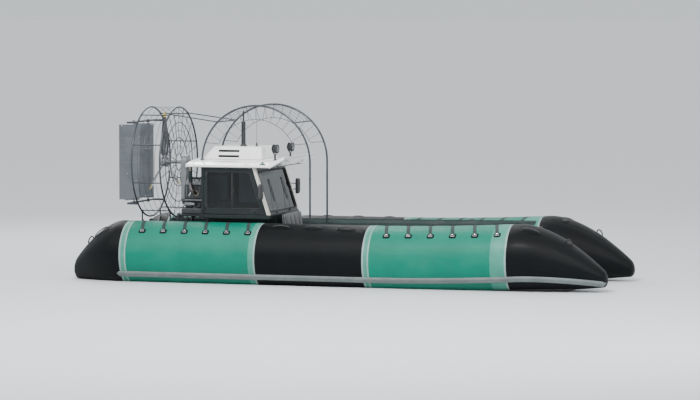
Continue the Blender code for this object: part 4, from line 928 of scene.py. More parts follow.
def makeFrontGrille():
    s = cageSettings
    centre = spot(cageFront, 0, shaftHeight)
    hoop("cageGrille", centre, alongX, cageRadius, hoopBar, 128, 14)
    for shares, bar, ahead in ((s.rings, s.ringBar, 0), (s.thinRings, s.thinBar, .006)):
        for share in shares:
            hoop("cageGrille", centre + alongX * ahead, alongX, cageRadius * share, bar, 96, 8)
    for k in range(2 * s.spokes):
        near, bar = (s.rings[0], s.spokeBar) if k % 2 else (s.rings[1], s.thinBar)
        inner, outer = [aroundShaft(cageFront, cageRadius * share, 180 / s.spokes * k) for share in (near, 1)]
        rod("cageGrille", inner, outer, bar, 8)
        weld("cageGrille", outer - (outer - inner).normalized() * hoopBar, outer - inner, s.spokeBar)
    finishPieces(cageGrille=("cageMetal", "cage_front"))


def makeRearCage():
    s = cageSettings
    beam, bar = s.beamStation, s.beamBar
    hoop("cageRear", spot(cageRear, 0, shaftHeight), alongX, cageRadius, hoopBar, 128, 14)
    for degrees in s.stringers:
        front, rear = [aroundShaft(x, cageRadius, degrees) for x in (cageFront - hoopBar, cageRear)]
        rod("cageRear", front, rear, s.stringerBar, 10)
        weld("cageRear", front, alongX, s.stringerBar)
        weld("cageRear", rear + alongX * hoopBar, alongX, s.stringerBar)
    for station in s.sideHoops:
        hoop("cageRear", spot(station, 0, shaftHeight), alongX, cageRadius, s.thinBar, 128, 8)
    reach = sqrt(cageRadius ** 2 - s.beamRise ** 2)
    for sign in ends:
        height = shaftHeight + sign * s.beamRise
        rod("cageRear", spot(beam, -reach, height), spot(beam, reach, height), bar, 16, .002)
        for side in ends:
            y = side * reach
            rod("cageRear", spot(beam - .01, y, height), spot(cageRear, y, height), bar + .0018, 16, .002)
            weld("cageRear", spot(cageRear - hoopBar, y, height), alongX, bar + .002)
            middle = spot(beam, side * s.bossOffset, height)
            boss = mm(-25.5, 21, -23.5, 23.6, 23.5, 23.6, 25.5, 21)
            turned("cageRear", boss, middle, upZ, 28)
            weld("cageRear", middle + acrossY * .023, acrossY, bar)
            weld("cageRear", middle - acrossY * .023, acrossY, bar)
            nipple = mm(0, 4.5, 6, 4.5, 8, 3, 12, 3)
            turned("greaseFittings", nipple, middle - alongX * .023, -alongX, 8)
    finishPieces(cageRear=("cageMetal", "cage_rear"), greaseFittings="stainless")


def makeCageLegs():
    offset = cageSettings.legOffset
    rail = deckTop + .0165
    knee = shaftHeight - sqrt(cageRadius ** 2 - offset ** 2)
    for side, sideName in bothSides:
        y = side * offset
        rod("cageSide", spot(cageRear - .05, y, rail), spot(cageFront + .05, y, rail), .0163, 16, .002)
        for station in (cageRear, cageFront):
            rod("cageSide", spot(station, y, rail), spot(station, y, knee), .0123, 14)
            weld("cageSide", spot(station, y, rail + .0165), upZ, .0125)
            # a two-bolt saddle clamps the hoop to the leg
            fall = degrees(asin((knee - shaftHeight) / cageRadius))
            clamp = aroundShaft(station, cageRadius, fall if side > 0 else 180 - fall)
            tangent = hoopTangent(clamp).normalized()
            grip = hoopBar + .004
            saddle = [(-.024, hoopBar + .0005), (-.022, grip), (.022, grip), (.024, hoopBar + .0005)]
            turned("cageSide", saddle, clamp, tangent, 20)
            for along in (-.012, .012):
                bolt("cageBolts", clamp + tangent * along - alongX * (hoopBar + .003), -alongX, .005)
        rod("cageSide", spot(cageFront, y, rail + .05), spot(cageRear, y, knee - .12), .0093, 12)
        for station in (cageRear + .06, cageFront - .06):
            slab("cageSide", spot(station - .035, y - .021, deckTop),
                spot(station + .035, y + .021, deckTop + .006), .002)
            for along in (-.024, .024):
                bolt("cageBolts", spot(station + along, y, rail + .0155), upZ, .0055)
        finishPieces(sideName, cageSide=("framePaint", "cage_leg", "cage_metal"))
    for sign in ends:
        low, high = spot(cageRear, -sign * offset, rail + .05), spot(cageRear, sign * offset, knee - .1)
        apart, run = alongX * .004 * sign, (high - low).normalized()
        rod("crossCables", low + apart, high + apart, .0026, 8)
        for place, toward in ((low, run), (high, -run)):
            barrel = mm(20, 4, 30, 5.5, 85, 5.5, 95, 4)
            turned("crossCables", barrel, place + apart, toward, 10)
    finishPieces(cageBolts="stainless", crossCables="stainless")


makeFrontGrille()
makeRearCage()
makeCageLegs()
print("cage ready")

# Branch guard: two arches over the cabin, their ties, stays and fine bars

guardSettings = Settings(
    middle=2.93, height=2.03, radius=.925, offset=.463, tube=.0158, ties=(45, 90, 135),
    stayAngle=62, bars=(-.3, -.1, .1, .3), bar=.0034, roofHere=2.067,
    innerArc=.7, innerFrom=25, innerTo=155, struts=13, clamps=(.62, 1.2, 1.78),
)


def guardPoint(degrees, y, radius=guardSettings.radius):
    middle, height = guardSettings.middle, guardSettings.height
    angle = radians(degrees)
    return spot(middle + radius * cos(angle), y, height + radius * sin(angle))


def makeGuard():
    s = guardSettings
    tube, bar, roofHere = s.tube, s.bar, s.roofHere
    for side in ends:
        y = side * s.offset
        front, rear = guardPoint(0, y), guardPoint(180, y)
        arch = [guardPoint(2.5 * k, y) for k in range(73)]
        route = [vec(front.x, y, deckTop + .002 + .2 * k) for k in range(9)]
        route += [point for k, point in enumerate(arch) if point.z > roofHere or k < 20]
        hose("branchGuard", route + [vec(rear.x + .001, y, roofHere)], tube, 18, up=acrossY)
        for height in s.clamps:
            clamp = mm(-12, 16.2, -10, 17.5, 10, 17.5, 12, 16.2)
            turned("branchGuard", clamp, vec(front.x, y, height), upZ, 18)
        foot = vec(front.x, y, deckTop)
        slabAt("branchGuard", foot, (-.05, -.0172, 0), (.05, .0172, .0118), .003)
        weld("branchGuard", foot + upZ * .0125, upZ, tube + .001)
        for along in (-.036, .036):
            bolt("guardBolts", foot + alongX * along + upZ * .0115, upZ, .0065)
        flange, lean = vec(rear.x, y, roofHere + .002), vec(0, side * .084, 1).normalized()
        collar = mm(-3, 38, 5, 38, 7, 36, 10, 20, 18, 16.8)
        turned("branchGuard", collar, flange, lean, 28)
        for turn in turns(4, .5):
            lift = .006 - side * .029 * sin(turn) * .084
            bolt("guardBolts", flange + polar(.029, turn, lift), lean, .0035)
    for degrees in s.ties:
        stbd, port = [guardPoint(degrees, side * s.offset) for side in ends]
        rod("branchGuard", stbd, port, tube - .0042, 14)
        for end in (stbd + acrossY * tube, port - acrossY * tube):
            weld("branchGuard", end, acrossY, tube - .004)
    for side in ends:
        end = aroundShaft(cageFront, cageRadius, s.stayAngle if side > 0 else 180 - s.stayAngle)
        rod("branchGuard", guardPoint(s.ties[-1], side * s.offset), end, tube - .0062, 12)
        turned("branchGuard", [(-.018, hoopBar + .004), (.018, hoopBar + .004)], end, hoopTangent(end), 18)
    # fine bars along the arches keep twigs out
    for y in s.bars:
        route = [guardPoint(s.ties[0] + 2.5 * k, y, s.radius + .002) for k in range(37)]
        hose("guardBars", route, bar, 8, up=acrossY)
    # a lighter inner arc and short struts stiffen each arch
    sweep = s.innerTo - s.innerFrom
    for y in (-s.offset, s.offset):
        inner = [guardPoint(s.innerFrom + sweep * k / 40, y, s.innerArc) for k in range(41)]
        route = [guardPoint(s.innerFrom - 5, y), *inner, guardPoint(s.innerTo + 5, y)]
        hose("guardBars", route, bar + .0012, 8, up=acrossY)
        for degrees in (s.innerFrom + sweep * (k + .5) / s.struts for k in range(s.struts)):
            rod("guardBars", guardPoint(degrees, y, s.innerArc), guardPoint(degrees, y), bar, 8)
    finishPieces(branchGuard=("cageMetal", "branch_guard"), guardBolts="stainless", guardBars="cageMetal")


makeGuard()
print("guard ready")

# Propeller: a bolted hub and three twisted blades with painted tips

propSettings = Settings(
    station=1.18, radius=.829, blades=3, hub=.085, hubHalf=.0548, shaft=.0298, shaftEnd=1.5092,
    rows=44, tipPaint=.87, bolts=12,
)
bladeSection = ((-.5, 0), (-.46, .2), (-.38, .33), (-.25, .43), (-.08, .48), (.1, .45), (.26, .32),
                (.4, .14), (.5, .01), (.4, -.07), (.26, -.17), (.1, -.26), (-.08, -.3), (-.25, -.29),
                (-.38, -.22), (-.46, -.13))
propCentre = spot(propSettings.station, 0, shaftHeight)


def bladeRow(share, turn):
    root = propSettings.hub * .6
    reach = root + (propSettings.radius - root) * share
    chord = .1 + .075 * sin(pi * min(1, share * .9 + .1)) - .045 * share**4
    thick = .03 * (1 - share) + .007
    if share > .93:
        chord *= sqrt(max(.02, 1 - ((share - .93) / .0705) ** 2))
    if share < .12:
        # the shank is round where the hub grips it
        blend = 1 - share / .12
        chord, thick = chord * (1 - blend) + .052 * blend, thick * (1 - blend) + .052 * blend
    pitch = atan2(.62 * .3, reach + .06)
    row = []
    for u, v in bladeSection:
        along, across = u * chord, v * thick * .98
        x = along * sin(pitch) + across * cos(pitch)
        y = along * cos(pitch) - across * sin(pitch)
        row.append(turn @ vec(x, y, reach) + propCentre)
    return row


def makePropeller():
    s = propSettings
    shares = [j / s.rows for j in range(s.rows + 1)]
    split = next(j for j, share in enumerate(shares) if share > s.tipPaint)
    for k in range(s.blades):
        turn = Matrix.Rotation(2 * pi * k / s.blades, 3, "X")
        skin("propBlades", [bladeRow(share, turn) for share in shares[:split + 1]])
        skin("propTips", [bladeRow(share, turn) for share in shares[split:]])
        socket = mm(20, 30, 85, 30, 98, 28.5, 104, 26)
        turned("propHub", socket, propCentre, turn @ upZ, 24)
    half, hub, shaft = s.hubHalf, s.hub, s.shaft
    nose = [(-half - .02, .004), (-half - .019, .018), (-half - .008, .034), (-half + .002, .04)]
    body = [(-half + .002, hub - .006), (-half + .006, hub), (-.022, hub), (-.019, hub - .012),
            (.019, hub - .012), (.022, hub), (half - .006, hub), (half, hub - .006), (half, .045),
            (half + .03, .042), (half + .032, shaft)]
    turned("propHub", nose + body, propCentre, alongX, 48)
    turned("propHub", [(half, shaft), (s.shaftEnd - s.station, shaft)], propCentre, alongX, 28)
    for turn in turns(s.bolts, .5):
        place = propCentre + vec(-half + .002, .066 * cos(turn), .066 * sin(turn))
        bolt("propBolts", place, -alongX, .0052)
    finishPieces(body="propeller", propBlades=("bladeCarbon", "propeller"),
                 propTips=("tipPaint", "propeller"), propHub=("castAlloy", "propeller", "prop_composite"),
                 propBolts=("stainless", "propeller"))


makePropeller()
print("propeller ready")

# Air rudders: riveted skins on ribs, each on a post with a horn at its foot

rudderSettings = Settings(station=.76, offset=.33, half=.62, chord=.36, thickness=.05, lead=.28, ribs=7)


def rudderHalfThickness(u):
    # an even section, thickest at a quarter of its chord
    return rudderSettings.thickness * (1.36 * sqrt(u) - .62 * u - 1.05 * u**2 + .33 * u**3 + .001) * .98


def makeRudder(side, sideName):
    s = rudderSettings
    half, chord, lead = s.half, s.chord, s.lead * s.chord
    axis = spot(s.station, side * s.offset, shaftHeight)
    section = [(lead - u * chord, rudderHalfThickness(u)) for u in ((k / 22) ** 1.6 for k in range(23))]
    outline = section + [(x, -y) for x, y in reversed(section[1:])]
    levels = [-half + .004] + [-half + .012 + (2 * half - .024) * k / 60 for k in range(61)] + [half - .004]
    ribs = [-half + .03 + (2 * half - .06) * k / (s.ribs - 1) for k in range(s.ribs)]
    rows = []
    for level in levels:
        sink = .0012 * min(1, min(abs(level - rib) for rib in ribs) / .05)
        shrink = .75 if level in (levels[0], levels[-1]) else 1
        rows.append([axis + vec(x, (y - copysign(min(abs(y), sink), y)) * shrink, level)
            for x, y in outline][::-1])
    skin("rudderSkin", rows)
    for level in (-half, half - .004):
        skin("rudderEnds", [[axis + vec(x, y, level + dz) for x, y in outline][::-1] for dz in (0, .004)])
    for rib, k, face in product(ribs, range(1, 9), ends):
        u = k / 9.5 + .03
        place = axis + vec(lead - u * chord, face * (rudderHalfThickness(u) - .0004), rib)
        rivet("rudderRivets", place, vec(0, face, 0), .0038)
    reach = cageSettings.beamRise - .0263
    rod("rudderPost", axis - upZ * reach, axis + upZ * reach, .0098, 18)
    for sign in ends:
        collar = mm(0, 17, 3, 18, 7, 18, 9, 14.5, 13, 14.5)
        turned("rudderPost", collar, axis + upZ * sign * half, upZ * sign, 20)
    foot = axis - upZ * half
    slabAt("rudderPost", foot, (-.155, -.0148, -.0058), (.0148, .0148, 0), .003)
    pin = mm(-14, 5.6, 4, 5.6, 4.5, 10.5, 10, 10.5, 11, 8.5)
    turned("rudderPost", pin, foot - alongX * .14, upZ, 16)
    for along in (-.09, -.05):
        bolt("rudderPost", foot + alongX * along - upZ * .005, -upZ, .0045)
    body = f"rudder_{sideName.lower()}"
    finishPiece("rudderSkin", "rudderSheet", "rudder", side=sideName, body=body, sharpAt=30)
    finishPieces(sideName, body, rudderEnds="rudderSheet", rudderRivets=("stainless", "", "hull_metal"),
                 rudderPost=("stainless", "", "hull_metal"))


for side, sideName in bothSides:
    makeRudder(side, sideName)
print("rudders ready")

# Engine bay: tube stand, engine details, radiator, tank and exhausts

engineSettings = Settings(
    start=1.6, end=2.02, crank=1.42, top=1.72, half=.22, low=1.1603, standTop=1.14,
    standHalf=.34, standStart=1.545, standEnd=2.065, radiatorY=.46, exhaustTop=1.978,
)
engineStart, engineEnd, crank, engineTop, engineHalf, engineLow = list(engineSettings.values())[:6]
standTop, standHalf, standStart, standEnd, radiatorY, exhaustTop = list(engineSettings.values())[6:]
engineMiddle = (engineStart + engineEnd) / 2


def makeStand():
    for station, inward in ((standStart, 1), (standEnd, -1)):
        rod("engineStand", spot(station, -standHalf, standTop), spot(station, standHalf, standTop), .0198, 18)
        for y in (-standHalf, standHalf):
            post = [(0, .0236), (standTop + .026 - deckTop, .0236), (standTop + .0295 - deckTop, .02)]
            turned("engineStand", post, spot(station, y, deckTop + .0005), upZ, 20)
            boxed("engineStand", around(station, .0278), around(y, .0278),
                (deckTop + .0002, deckTop + .0118), .002)
            weld("engineStand", spot(station, y, deckTop + .0125), upZ, .0238)
            weld("engineStand", spot(station, y - copysign(.0225, y), standTop), acrossY, .02)
            weld("engineStand", spot(station, y, standTop) + alongX * inward * .0225, alongX, .02)
            # triangular gusset under the side rail
            corner = spot(station, y, standTop) + alongX * inward * .02
            flat = [corner - upZ * .016, corner + alongX * inward * .085 - upZ * .016, corner - upZ * .1]
            skin("engineStand", [[p + acrossY * dy for p in flat[::-inward]] for dy in (-.0025, .0025)])
            for shift in (-.02, .02):
                bolt("standBolts", spot(station + shift, y + shift, deckTop + .0115), upZ, .0036)
    for y in (-standHalf, standHalf):
        rod("engineStand", spot(standStart, y, standTop), spot(standEnd, y, standTop), .0198, 18)
    for station, mount in ((1.66, 1.81), (1.94, 1.86)):
        rod("engineStand", spot(station, standHalf, standTop), spot(station, radiatorY + .035, standTop),
            .0168, 14, .002)
        for y in (-.3, .3):
            # rubber mounts carry the engine's feet
            rubber = mm(21, 24, 24.5, 24, 25, 16)
            turned("standBolts", rubber, spot(mount, y, engineLow + .078), upZ, 18)
            bolt("standBolts", spot(mount, y, engineLow + .1012), upZ, .008)
    finishPieces(engineStand=("framePaint", "engine_stand"), standBolts="stainless")


def makeEngineSide(side):
    # ribbed cover on the sloping face of the block, spark leads, then the block's flank
    turn = Matrix.Rotation(side * radians(-45), 3, "X")
    about = spot(engineMiddle, side * .172, 1.672)
    slabAt("engineCovers", about, (-.185, -.058, -.01), (.185, .058, .026), .01, turn)
    for k in range(9):
        rib = about + vec(-.15 + .0375 * k, 0, .026)
        slab("engineCovers", rib - vec(.005, .05, .004), rib + vec(.005, .05, .005), .002, turn, about)
    for k, across in product(range(4), (-.05, .05)):
        bolt("engineFasteners", about + turn @ vec(-.165 + .11 * k, across, .026), turn @ upZ, .0042)
    for k in range(4):
        start = about + turn @ vec(-.12 + .08 * k, .02, .03)
        end = spot(engineMiddle - .1 + .07 * k, side * .03, engineTop + .025)
        lead = [start, start + turn @ upZ * .02, (start + end) / 2 + upZ * .035, end]
        hose("engineHoses", smoothRoute(lead, 6), .0038, 8)
        turned("enginePlastics", mm(-4, 10, 10, 10, 20, 6), start, turn @ upZ, 10)
    for k in range(7):
        rib = engineStart + .045 + .055 * k
        boxed("engineCastings", around(rib, .005), around(side * (engineHalf + .002), .006),
            (crank + .015, crank + .185), .003)
    for k in range(3):
        plug = mm(-2, 22, 3, 22, 4, 20, 1, 16)
        turned("engineFasteners", plug, spot(engineStart + .1 + .11 * k, side * engineHalf, crank + .055),
            outward(side), 20)
    boxed("engineCastings", (engineStart + .006, engineEnd - .006), around(side * .198, .018),
        (crank - .045, crank - .025), .003)
    for k in range(8):
        bolt("engineFasteners", spot(engineStart + .03 + .052 * k, side * .215, crank - .035),
            outward(side), .0045)


def makeEngineDetails():
    for side in ends:
        makeEngineSide(side)
    boxed("enginePlastics", (engineMiddle - .15, engineMiddle + .14), (-.035, .035),
        (engineTop - .004, engineTop + .032), .008)
    # air filter on the intake, with pleats
    intake = spot(engineEnd - .1, 0, engineTop + .02)
    turned("engineCastings", mm(-20, 45, 35, 45, 40, 52, 50, 52), intake, upZ, 32)
    pleats = [(.05, .062), (.054, .074), *((.058 + .0045 * k, .074 if k % 2 else .068) for k in range(20))]
    pleats += mm(150, 74, 156, 70, 160, 50, 161, 10)
    turned("enginePlastics", pleats, intake, upZ, 40)
    # starter, oil filter and generator low on the sides
    starter = mm(0, 30, 12, 38, 130, 38, 135, 30, 170, 28, 175, 20)
    oilFilter = mm(0, 30, 4, 36, 85, 36, 92, 30)
    generator = mm(-60, 30, -55, 48, 45, 48, 50, 40)
    turned("engineCastings", starter, spot(engineStart + .03, -.262, engineLow + .155), alongX, 24)
    turned("enginePlastics", oilFilter, spot(engineEnd - .13, -.255, engineLow + .155), vec(0, -.4, -.3), 24)
    turned("engineCastings", generator, spot(engineEnd - .13, .275, engineLow + .165), alongX, 28)
    # pulleys at the cabin end
    for y, height, radius in ((0, crank - .03, .082), (.275, engineLow + .165, .034)):
        grooves = [(.003 + .005 * k, radius - .005 * (k % 2)) for k in range(5)]
        wheel = [(.002, .012), *grooves, (.024, radius * .5), (.028, .014)]
        turned("engineFasteners", wheel, spot(engineEnd, y, height), alongX, 36)
    # water hoses to the radiator
    for low, high, bar in ((crank + .06, 1.56, .02), (engineLow + .14, 1.2, .022)):
        steps = ((.05, engineHalf + .002, low), (.05, .27, low), (.055, .34, (low + high) / 2 + .02),
                 (.06, .39, high), (.06, .426, high))
        route = [spot(engineEnd - back, y, z) for back, y, z in steps]
        hose("engineHoses", smoothRoute(route, 8), bar, 16)
        for place in (route[0] + acrossY * .02, route[-1] - acrossY * .02):
            turned("engineFasteners", [(-.006, bar + .0018), (.006, bar + .0018)], place, acrossY, 20)
    finishPieces(engineCovers="castAlloy", engineCastings="castAlloy",
                 enginePlastics=("mouldedPlastic", "", "frame_black"), engineHoses="gasketRubber",
                 engineFasteners="stainless")


def makeDriveDetails():
    # cover plate with ribs, screws and a bearing cap on the belt case
    face, low, high, radius = engineStart - .0903, crank, shaftHeight, .12
    rows = []
    for along, inset in ((.002, .014), (-.004, .014), (-.006, .017)):
        reach = radius - inset
        row = []
        for turn in turns(48):
            middle = high if sin(turn) >= 0 else low
            row.append(spot(face + along, reach * cos(turn), middle + reach * sin(turn)))
        rows.append(row[::-1])
    skin("driveCover", rows)
    for k in range(5):
        height = low + .1 + (high - low - .2) * k / 4
        boxed("driveCover", (face - .011, face - .004), (-.085, .085), around(height, .005), .003)
    upper = mm(-2, 66, 10, 66, 13, 62, 16, 40, 18, 30.5)
    lower = mm(-2, 60, 10, 60, 14, 50, 15, 10)
    for cap, height in ((upper, high), (lower, low)):
        turned("driveCover", cap, spot(face - .004, 0, height), -alongX, 36)
    places, reach = [], radius - .009
    for angle in (pi * k / 8 for k in range(9)):
        y, rise = reach * cos(angle), reach * sin(angle)
        places += [(y, high + rise), (y, low - rise)]
    places += [(side * reach, low + (high - low) * k / 8) for side, k in product(ends, range(1, 8))]
    for y, height in places:
        bolt("driveScrews", spot(face, y, height), -alongX, .0042)
    for angle in turns(6):
        bolt("driveScrews", spot(face - .013, .053 * cos(angle), high + .053 * sin(angle)), -alongX, .0045)
    finishPieces(driveCover="castAlloy", driveScrews="stainless")


def makeRadiatorAndTank():
    low, high = 1.1573, 1.6173
    y0, y1 = around(radiatorY, .035)
    for station in (1.6, 1.975):
        boxed("radiatorFrame", (station - .0005, station + .0255), (y0 - .004, y1 + .004), (low, high))
    for height in (low, high - .05):
        boxed("radiatorFrame", (1.602, 1.998), (y0 - .006, y1 + .006), (height, height + .05), .008)
    for k in range(44):
        height = low + .056 + .008 * k
        for y in ((y1 - .003, y1 + .002), (y0 - .002, y0 + .003)):
            boxed("radiatorFins", (1.626, 1.974), y, (height, height + .0028), .0006)
    filler = mm(0, 20, 10, 20, 12, 26, 22, 26, 25, 20)
    turned("bayFasteners", filler, spot(1.68, radiatorY, high), upZ, 24)
    # fan and its ring on the inner face
    centre = spot(1.8, y0 - .012, 1.387)
    hoop("radiatorFrame", centre, acrossY, .155, .008, 64, 8)
    for angle in turns(7):
        turn = Matrix.Rotation(-angle, 3, "Y")
        slabAt("radiatorFrame", centre, (.02, -.003, -.02), (.145, .003, .02), .002, turn)
    turned("radiatorFrame", mm(-10, 36, 8, 36, 12, 30), centre, -acrossY, 24)
    # straps, filler and outlet of the fuel tank
    middle = (standStart + standEnd) / 2
    for station in (middle - .11, middle + .11):
        strap = around(station, .016)
        boxed("tankStraps", strap, (-.2725, .2725), (deckTop + .396, deckTop + .4035), .002)
        for side in ends:
            boxed("tankStraps", strap, around(side * .2712, .0022), (deckTop + .004, deckTop + .403), .001)
            bolt("bayFasteners", spot(station, side * .273, deckTop + .06), outward(side), .006)
    cap = mm(-4, 50, 12, 50, 14, 46, 20, 46, 21, 52, 46, 52, 50, 46)
    turned("tankFittings", cap, spot(middle, -.14, deckTop + .398), upZ, 32)
    steps = ((.05, .1, deckTop + .398), (.05, .1, deckTop + .46), (.1, .16, deckTop + .56),
             (.14, .235, deckTop + .72), (.14, .245, 1.22))
    hose("tankFittings", smoothRoute([spot(middle + ahead, y, z) for ahead, y, z in steps], 8), .007, 10)
    finishPieces(radiatorFrame=("framePaint", "", "engine_metal"), radiatorFins="finnedCore",
                 bayFasteners="stainless", tankFittings=("mouldedPlastic", "", "frame_black"),
                 tankStraps=("stainless", "", "hull_metal"))


def makeExhausts():
    root = engineHalf + .0003
    bends = ((0, 0, .08), (.002, .035, .083), (.014, .066, .1), (.035, .09, .14), (.056, .098, .2),
             (.06, .1, .3))
    for side, sideName in bothSides:
        steps = [spot(engineMiddle - back, side * (root + out), crank + rise) for back, out, rise in bends]
        bend = smoothRoute(steps, 7)
        hose("exhaust", bend, .03, 24)
        top = vec(bend[-1].x, bend[-1].y, 0)
        pipe = [(crank + .29, .03), (exhaustTop - .006, .03), (exhaustTop, .0312), (exhaustTop, .0272),
            (exhaustTop - .09, .0268)]
        turned("exhaust", pipe, top, upZ, 28)
        turned("exhaust", mm(0, 44, 9, 44, 10, 36), spot(engineMiddle, side * root, crank + .08),
            outward(side), 20)
        # a wrap held by two bands
        wrap = mm(235, 30.5, 236, 31.8, 475, 31.8, 476, 30.5)
        turned("exhaustWrap", [(crank + rise, radius) for rise, radius in wrap], top, upZ, 28)
        for height in (crank + .25, crank + .46):
            band = mm(-8, 32.2, -7, 33.2, 7, 33.2, 8, 32.2)
            turned("exhaust", [(height + rise, radius) for rise, radius in band], top, upZ, 28)
            bolt("exhaust", vec(top.x - .033, top.y, height), -alongX, .004)
        finishPieces(sideName, exhaust=("exhaustSteel", "exhaust"),
            exhaustWrap=("webbing", "", "exhaust_steel"))


makeStand()
makeEngineDetails()
makeDriveDetails()
makeRadiatorAndTank()
makeExhausts()
print("engine bay ready")

# Mast, lamps, mirrors and bow bitt

topSettings = Settings(
    roofLow=1.96, roofEdge=.045, roofCrown=.125, roofHalf=.85, podTop=2.28, mastStation=2.56,
)


def roofHeight(y):
    low, edge, crown, half = list(topSettings.values())[:4]
    return low + edge + (crown - edge) * max(0, 1 - (y / half) ** 2) ** .75


def screenStation(height):
    # front face of the leaning windscreen frame
    return 3.27 - .25 * (height - 1.195) / .765


def makeMast():
    top = topSettings.podTop
    foot, base = spot(topSettings.mastStation, 0, top + .0005), spot(2.79, 0, top)
    pole = mm(0, 59.5, 10, 59.5, 18, 54, 19.5, 40, 30, 35.5, 380, 34.5, 395, 33, 400, 22, 404, 13.8,
              575, 13.6)
    lamp = mm(572, 13.6, 575, 19, 580, 19, 582, 17, 608, 17, 612, 15)
    whip = mm(50, 3.2, 350, 2.6, 600, 1.8, 604, 3.4, 610, 3.4, 612, 1)
    turned("mastPole", pole, foot, upZ, 32)
    for turn in (pi * k / 3 for k in range(6)):
        bolt("mastPole", foot + polar(.05, turn, .011), upZ, .0045)
    turned("mastLight", lamp, foot, upZ, 24)
    turned("mastPole", mm(611, 18.5, 616, 18.5, 618.5, 12), foot, upZ, 24)
    turned("mastPole", mm(-1, 24, 6, 24, 10, 18, 45, 10, 60, 4.5), base, upZ, 20)
    turned("whipAerial", whip, base, upZ, 8)
    finishPieces(mastPole=("framePaint", "mast"), mastLight=("lampGlass", "", "roof_white"),
        whipAerial="framePaint")


def makeLamp(side, sideName):
    centre = spot(3.24, side * .4, roofHeight(.4) + .185)
    shell = mm(-55, 10, -55, 30, -48, 46, -40, 59, -20, 66, 0, 69.7, 31, 69.7, 33, 74.5, 47, 74.8, 49.8, 72,
        49.8, 66.5, 40, 65.5, 36, 62)
    bowl = mm(35.5, 62.5, 20, 55, 0, 40, -12, 20, -14, 12, 4, 10, 8, 6)
    lens = mm(36, 64.5, 43, 64.5, 46.2, 50, 47.5, 25, 48, 4)
    turned("searchlight", shell, centre, alongX, 44)
    for k in range(5):
        near, far, high = -.034 + .008 * k, -.0315 + .008 * k, .0705 + .0006 * k
        turned("searchlight", [(near, .0655), (near, high), (far, high), (far, .0655)], centre, alongX, 44)
    turned("lampBowl", bowl, centre, alongX, 36)
    turned("lampLens", lens, centre, alongX, 36)
    low = roofHeight(.4) - .002
    for dy in (-.0715, .0715):
        # fork of flat bar
        slabAt("searchlight", centre, (-.011, dy - .003, -.085), (.011, dy + .003, .012), .0015)
        pivot = centre + acrossY * (dy + copysign(.002, dy))
        turned("searchlight", mm(0, 13, 8, 12, 10, 8), pivot, outward(dy), 14)
    slabAt("searchlight", centre, (-.011, -.0745, -.089), (.011, .0745, -.082), .0015)
    slab("searchlight", vec(centre.x - .0118, centre.y - .0195, low), centre + vec(.0118, .0195, -.086), .003)
    foot = vec(centre.x, centre.y, low + .002)
    turned("searchlight", mm(-1, 36, 7, 36, 9, 30), foot, vec(0, side * .08, 1), 22)
    finishPieces(sideName, searchlight=("framePaint", "searchlight"), lampBowl="reflector",
        lampLens=("lampGlass", "", "frame_black"))


def makeMirror(side, sideName):
    width, height, level = .15, .26, 1.58
    centre = spot(screenStation(level - height / 2), side * .97, level)

    def ring(along, wide, tall):
        corners = [rounded(turn, .38) for turn in turns(44)]
        return [centre + vec(along, u * width / 2 * wide, v * height / 2 * tall) for u, v in corners]

    shell = ((-.024, .86), (-.0248, .93), (-.0235, .985), (-.016, 1), (.004, .985), (.016, .9), (.0225, .74),
             (.0245, .48))
    skin("mirrorShell", [ring(along, share, share if share > .9 else (share + .25) / 1.25)
        for along, share in shell])
    skin("mirrorGlass", [ring(along, .84, .87) for along in (-.0248, -.0216)])
    for lift in (-.05, .05):
        foot = spot(screenStation(level + lift) - .025, side * .785, level + lift)
        near, far = [centre + vec(.004, -side * y, lift * .9) for y in (.075, .03)]
        hose("mirrorArms", smoothRoute([foot, foot + acrossY * side * .05, near, far], 6), .0085, 12)
        slabAt("mirrorArms", foot, (-.013, -.005, -.018), (.013, .005, .018), .003)
        for dz in (-.012, .012):
            bolt("mirrorArms", foot + vec(0, side * .0045, dz), outward(side), .003)
        collar = centre + vec(.004, -side * .079, lift * .9)
        turned("mirrorArms", mm(-12, 12.5, 12, 12.5), collar, acrossY, 16)
    finishPieces(sideName, mirrorShell=("mouldedPlastic", "mirror"), mirrorGlass="mirrorGlass",
                 mirrorArms=("framePaint", "", "mirror_black"))


def makeBitt():
    foot = spot(7.5, 0, .7804)
    post = mm(10, 40, 16, 36, 22, 31.8, 150, 31.8, 156, 31.5, 164, 27, 169.8, 12)
    pin = mm(-84.8, 10, -82, 12.8, -74, 12.8, -72, 11.6)
    slabAt("bowBitt", foot, (-.0698, -.0698, 0), (.0698, .0698, .0118), .004)
    turned("bowBitt", post, foot, upZ, 36)
    turned("bowBitt", pin + [(-along, radius) for along, radius in pin[::-1]], foot + upZ * .12, acrossY, 20)
    for dx, dy in product((-.053, .053), (-.053, .053)):
        bolt("bittBolts", foot + vec(dx, dy, .0115), upZ, .007)
    finishPieces(bowBitt=("framePaint", "bow_bitt"), bittBolts="stainless")


makeMast()
for side, sideName in bothSides:
    makeLamp(side, sideName)
    makeMirror(side, sideName)
makeBitt()
print("mast, lamps, mirrors and bitt ready")

# Cabin: gaskets, handles, wipers, rivets, roof trim and helm

cabinSettings = Settings(
    rear=2.1, front=3.27, half=.78, roofLow=1.96, gasket=.0075,
    doorWindow=((2.203, 1.293), (3.115, 1.293), (2.921, 1.887), (2.203, 1.887)),
    screen=(.71, 1.245, 1.89), rearWindow=(.55, 1.36, 1.8),
)
cabinRear, cabinFront, cabinHalf, roofLow, gasketBar = list(cabinSettings.values())[:5]


def screenSpot(y, height, proud=0):
    return spot(screenStation(height) + proud, y, height)


def oblong(half, low, high):
    return (-half, low), (half, low), (half, high), (-half, high)


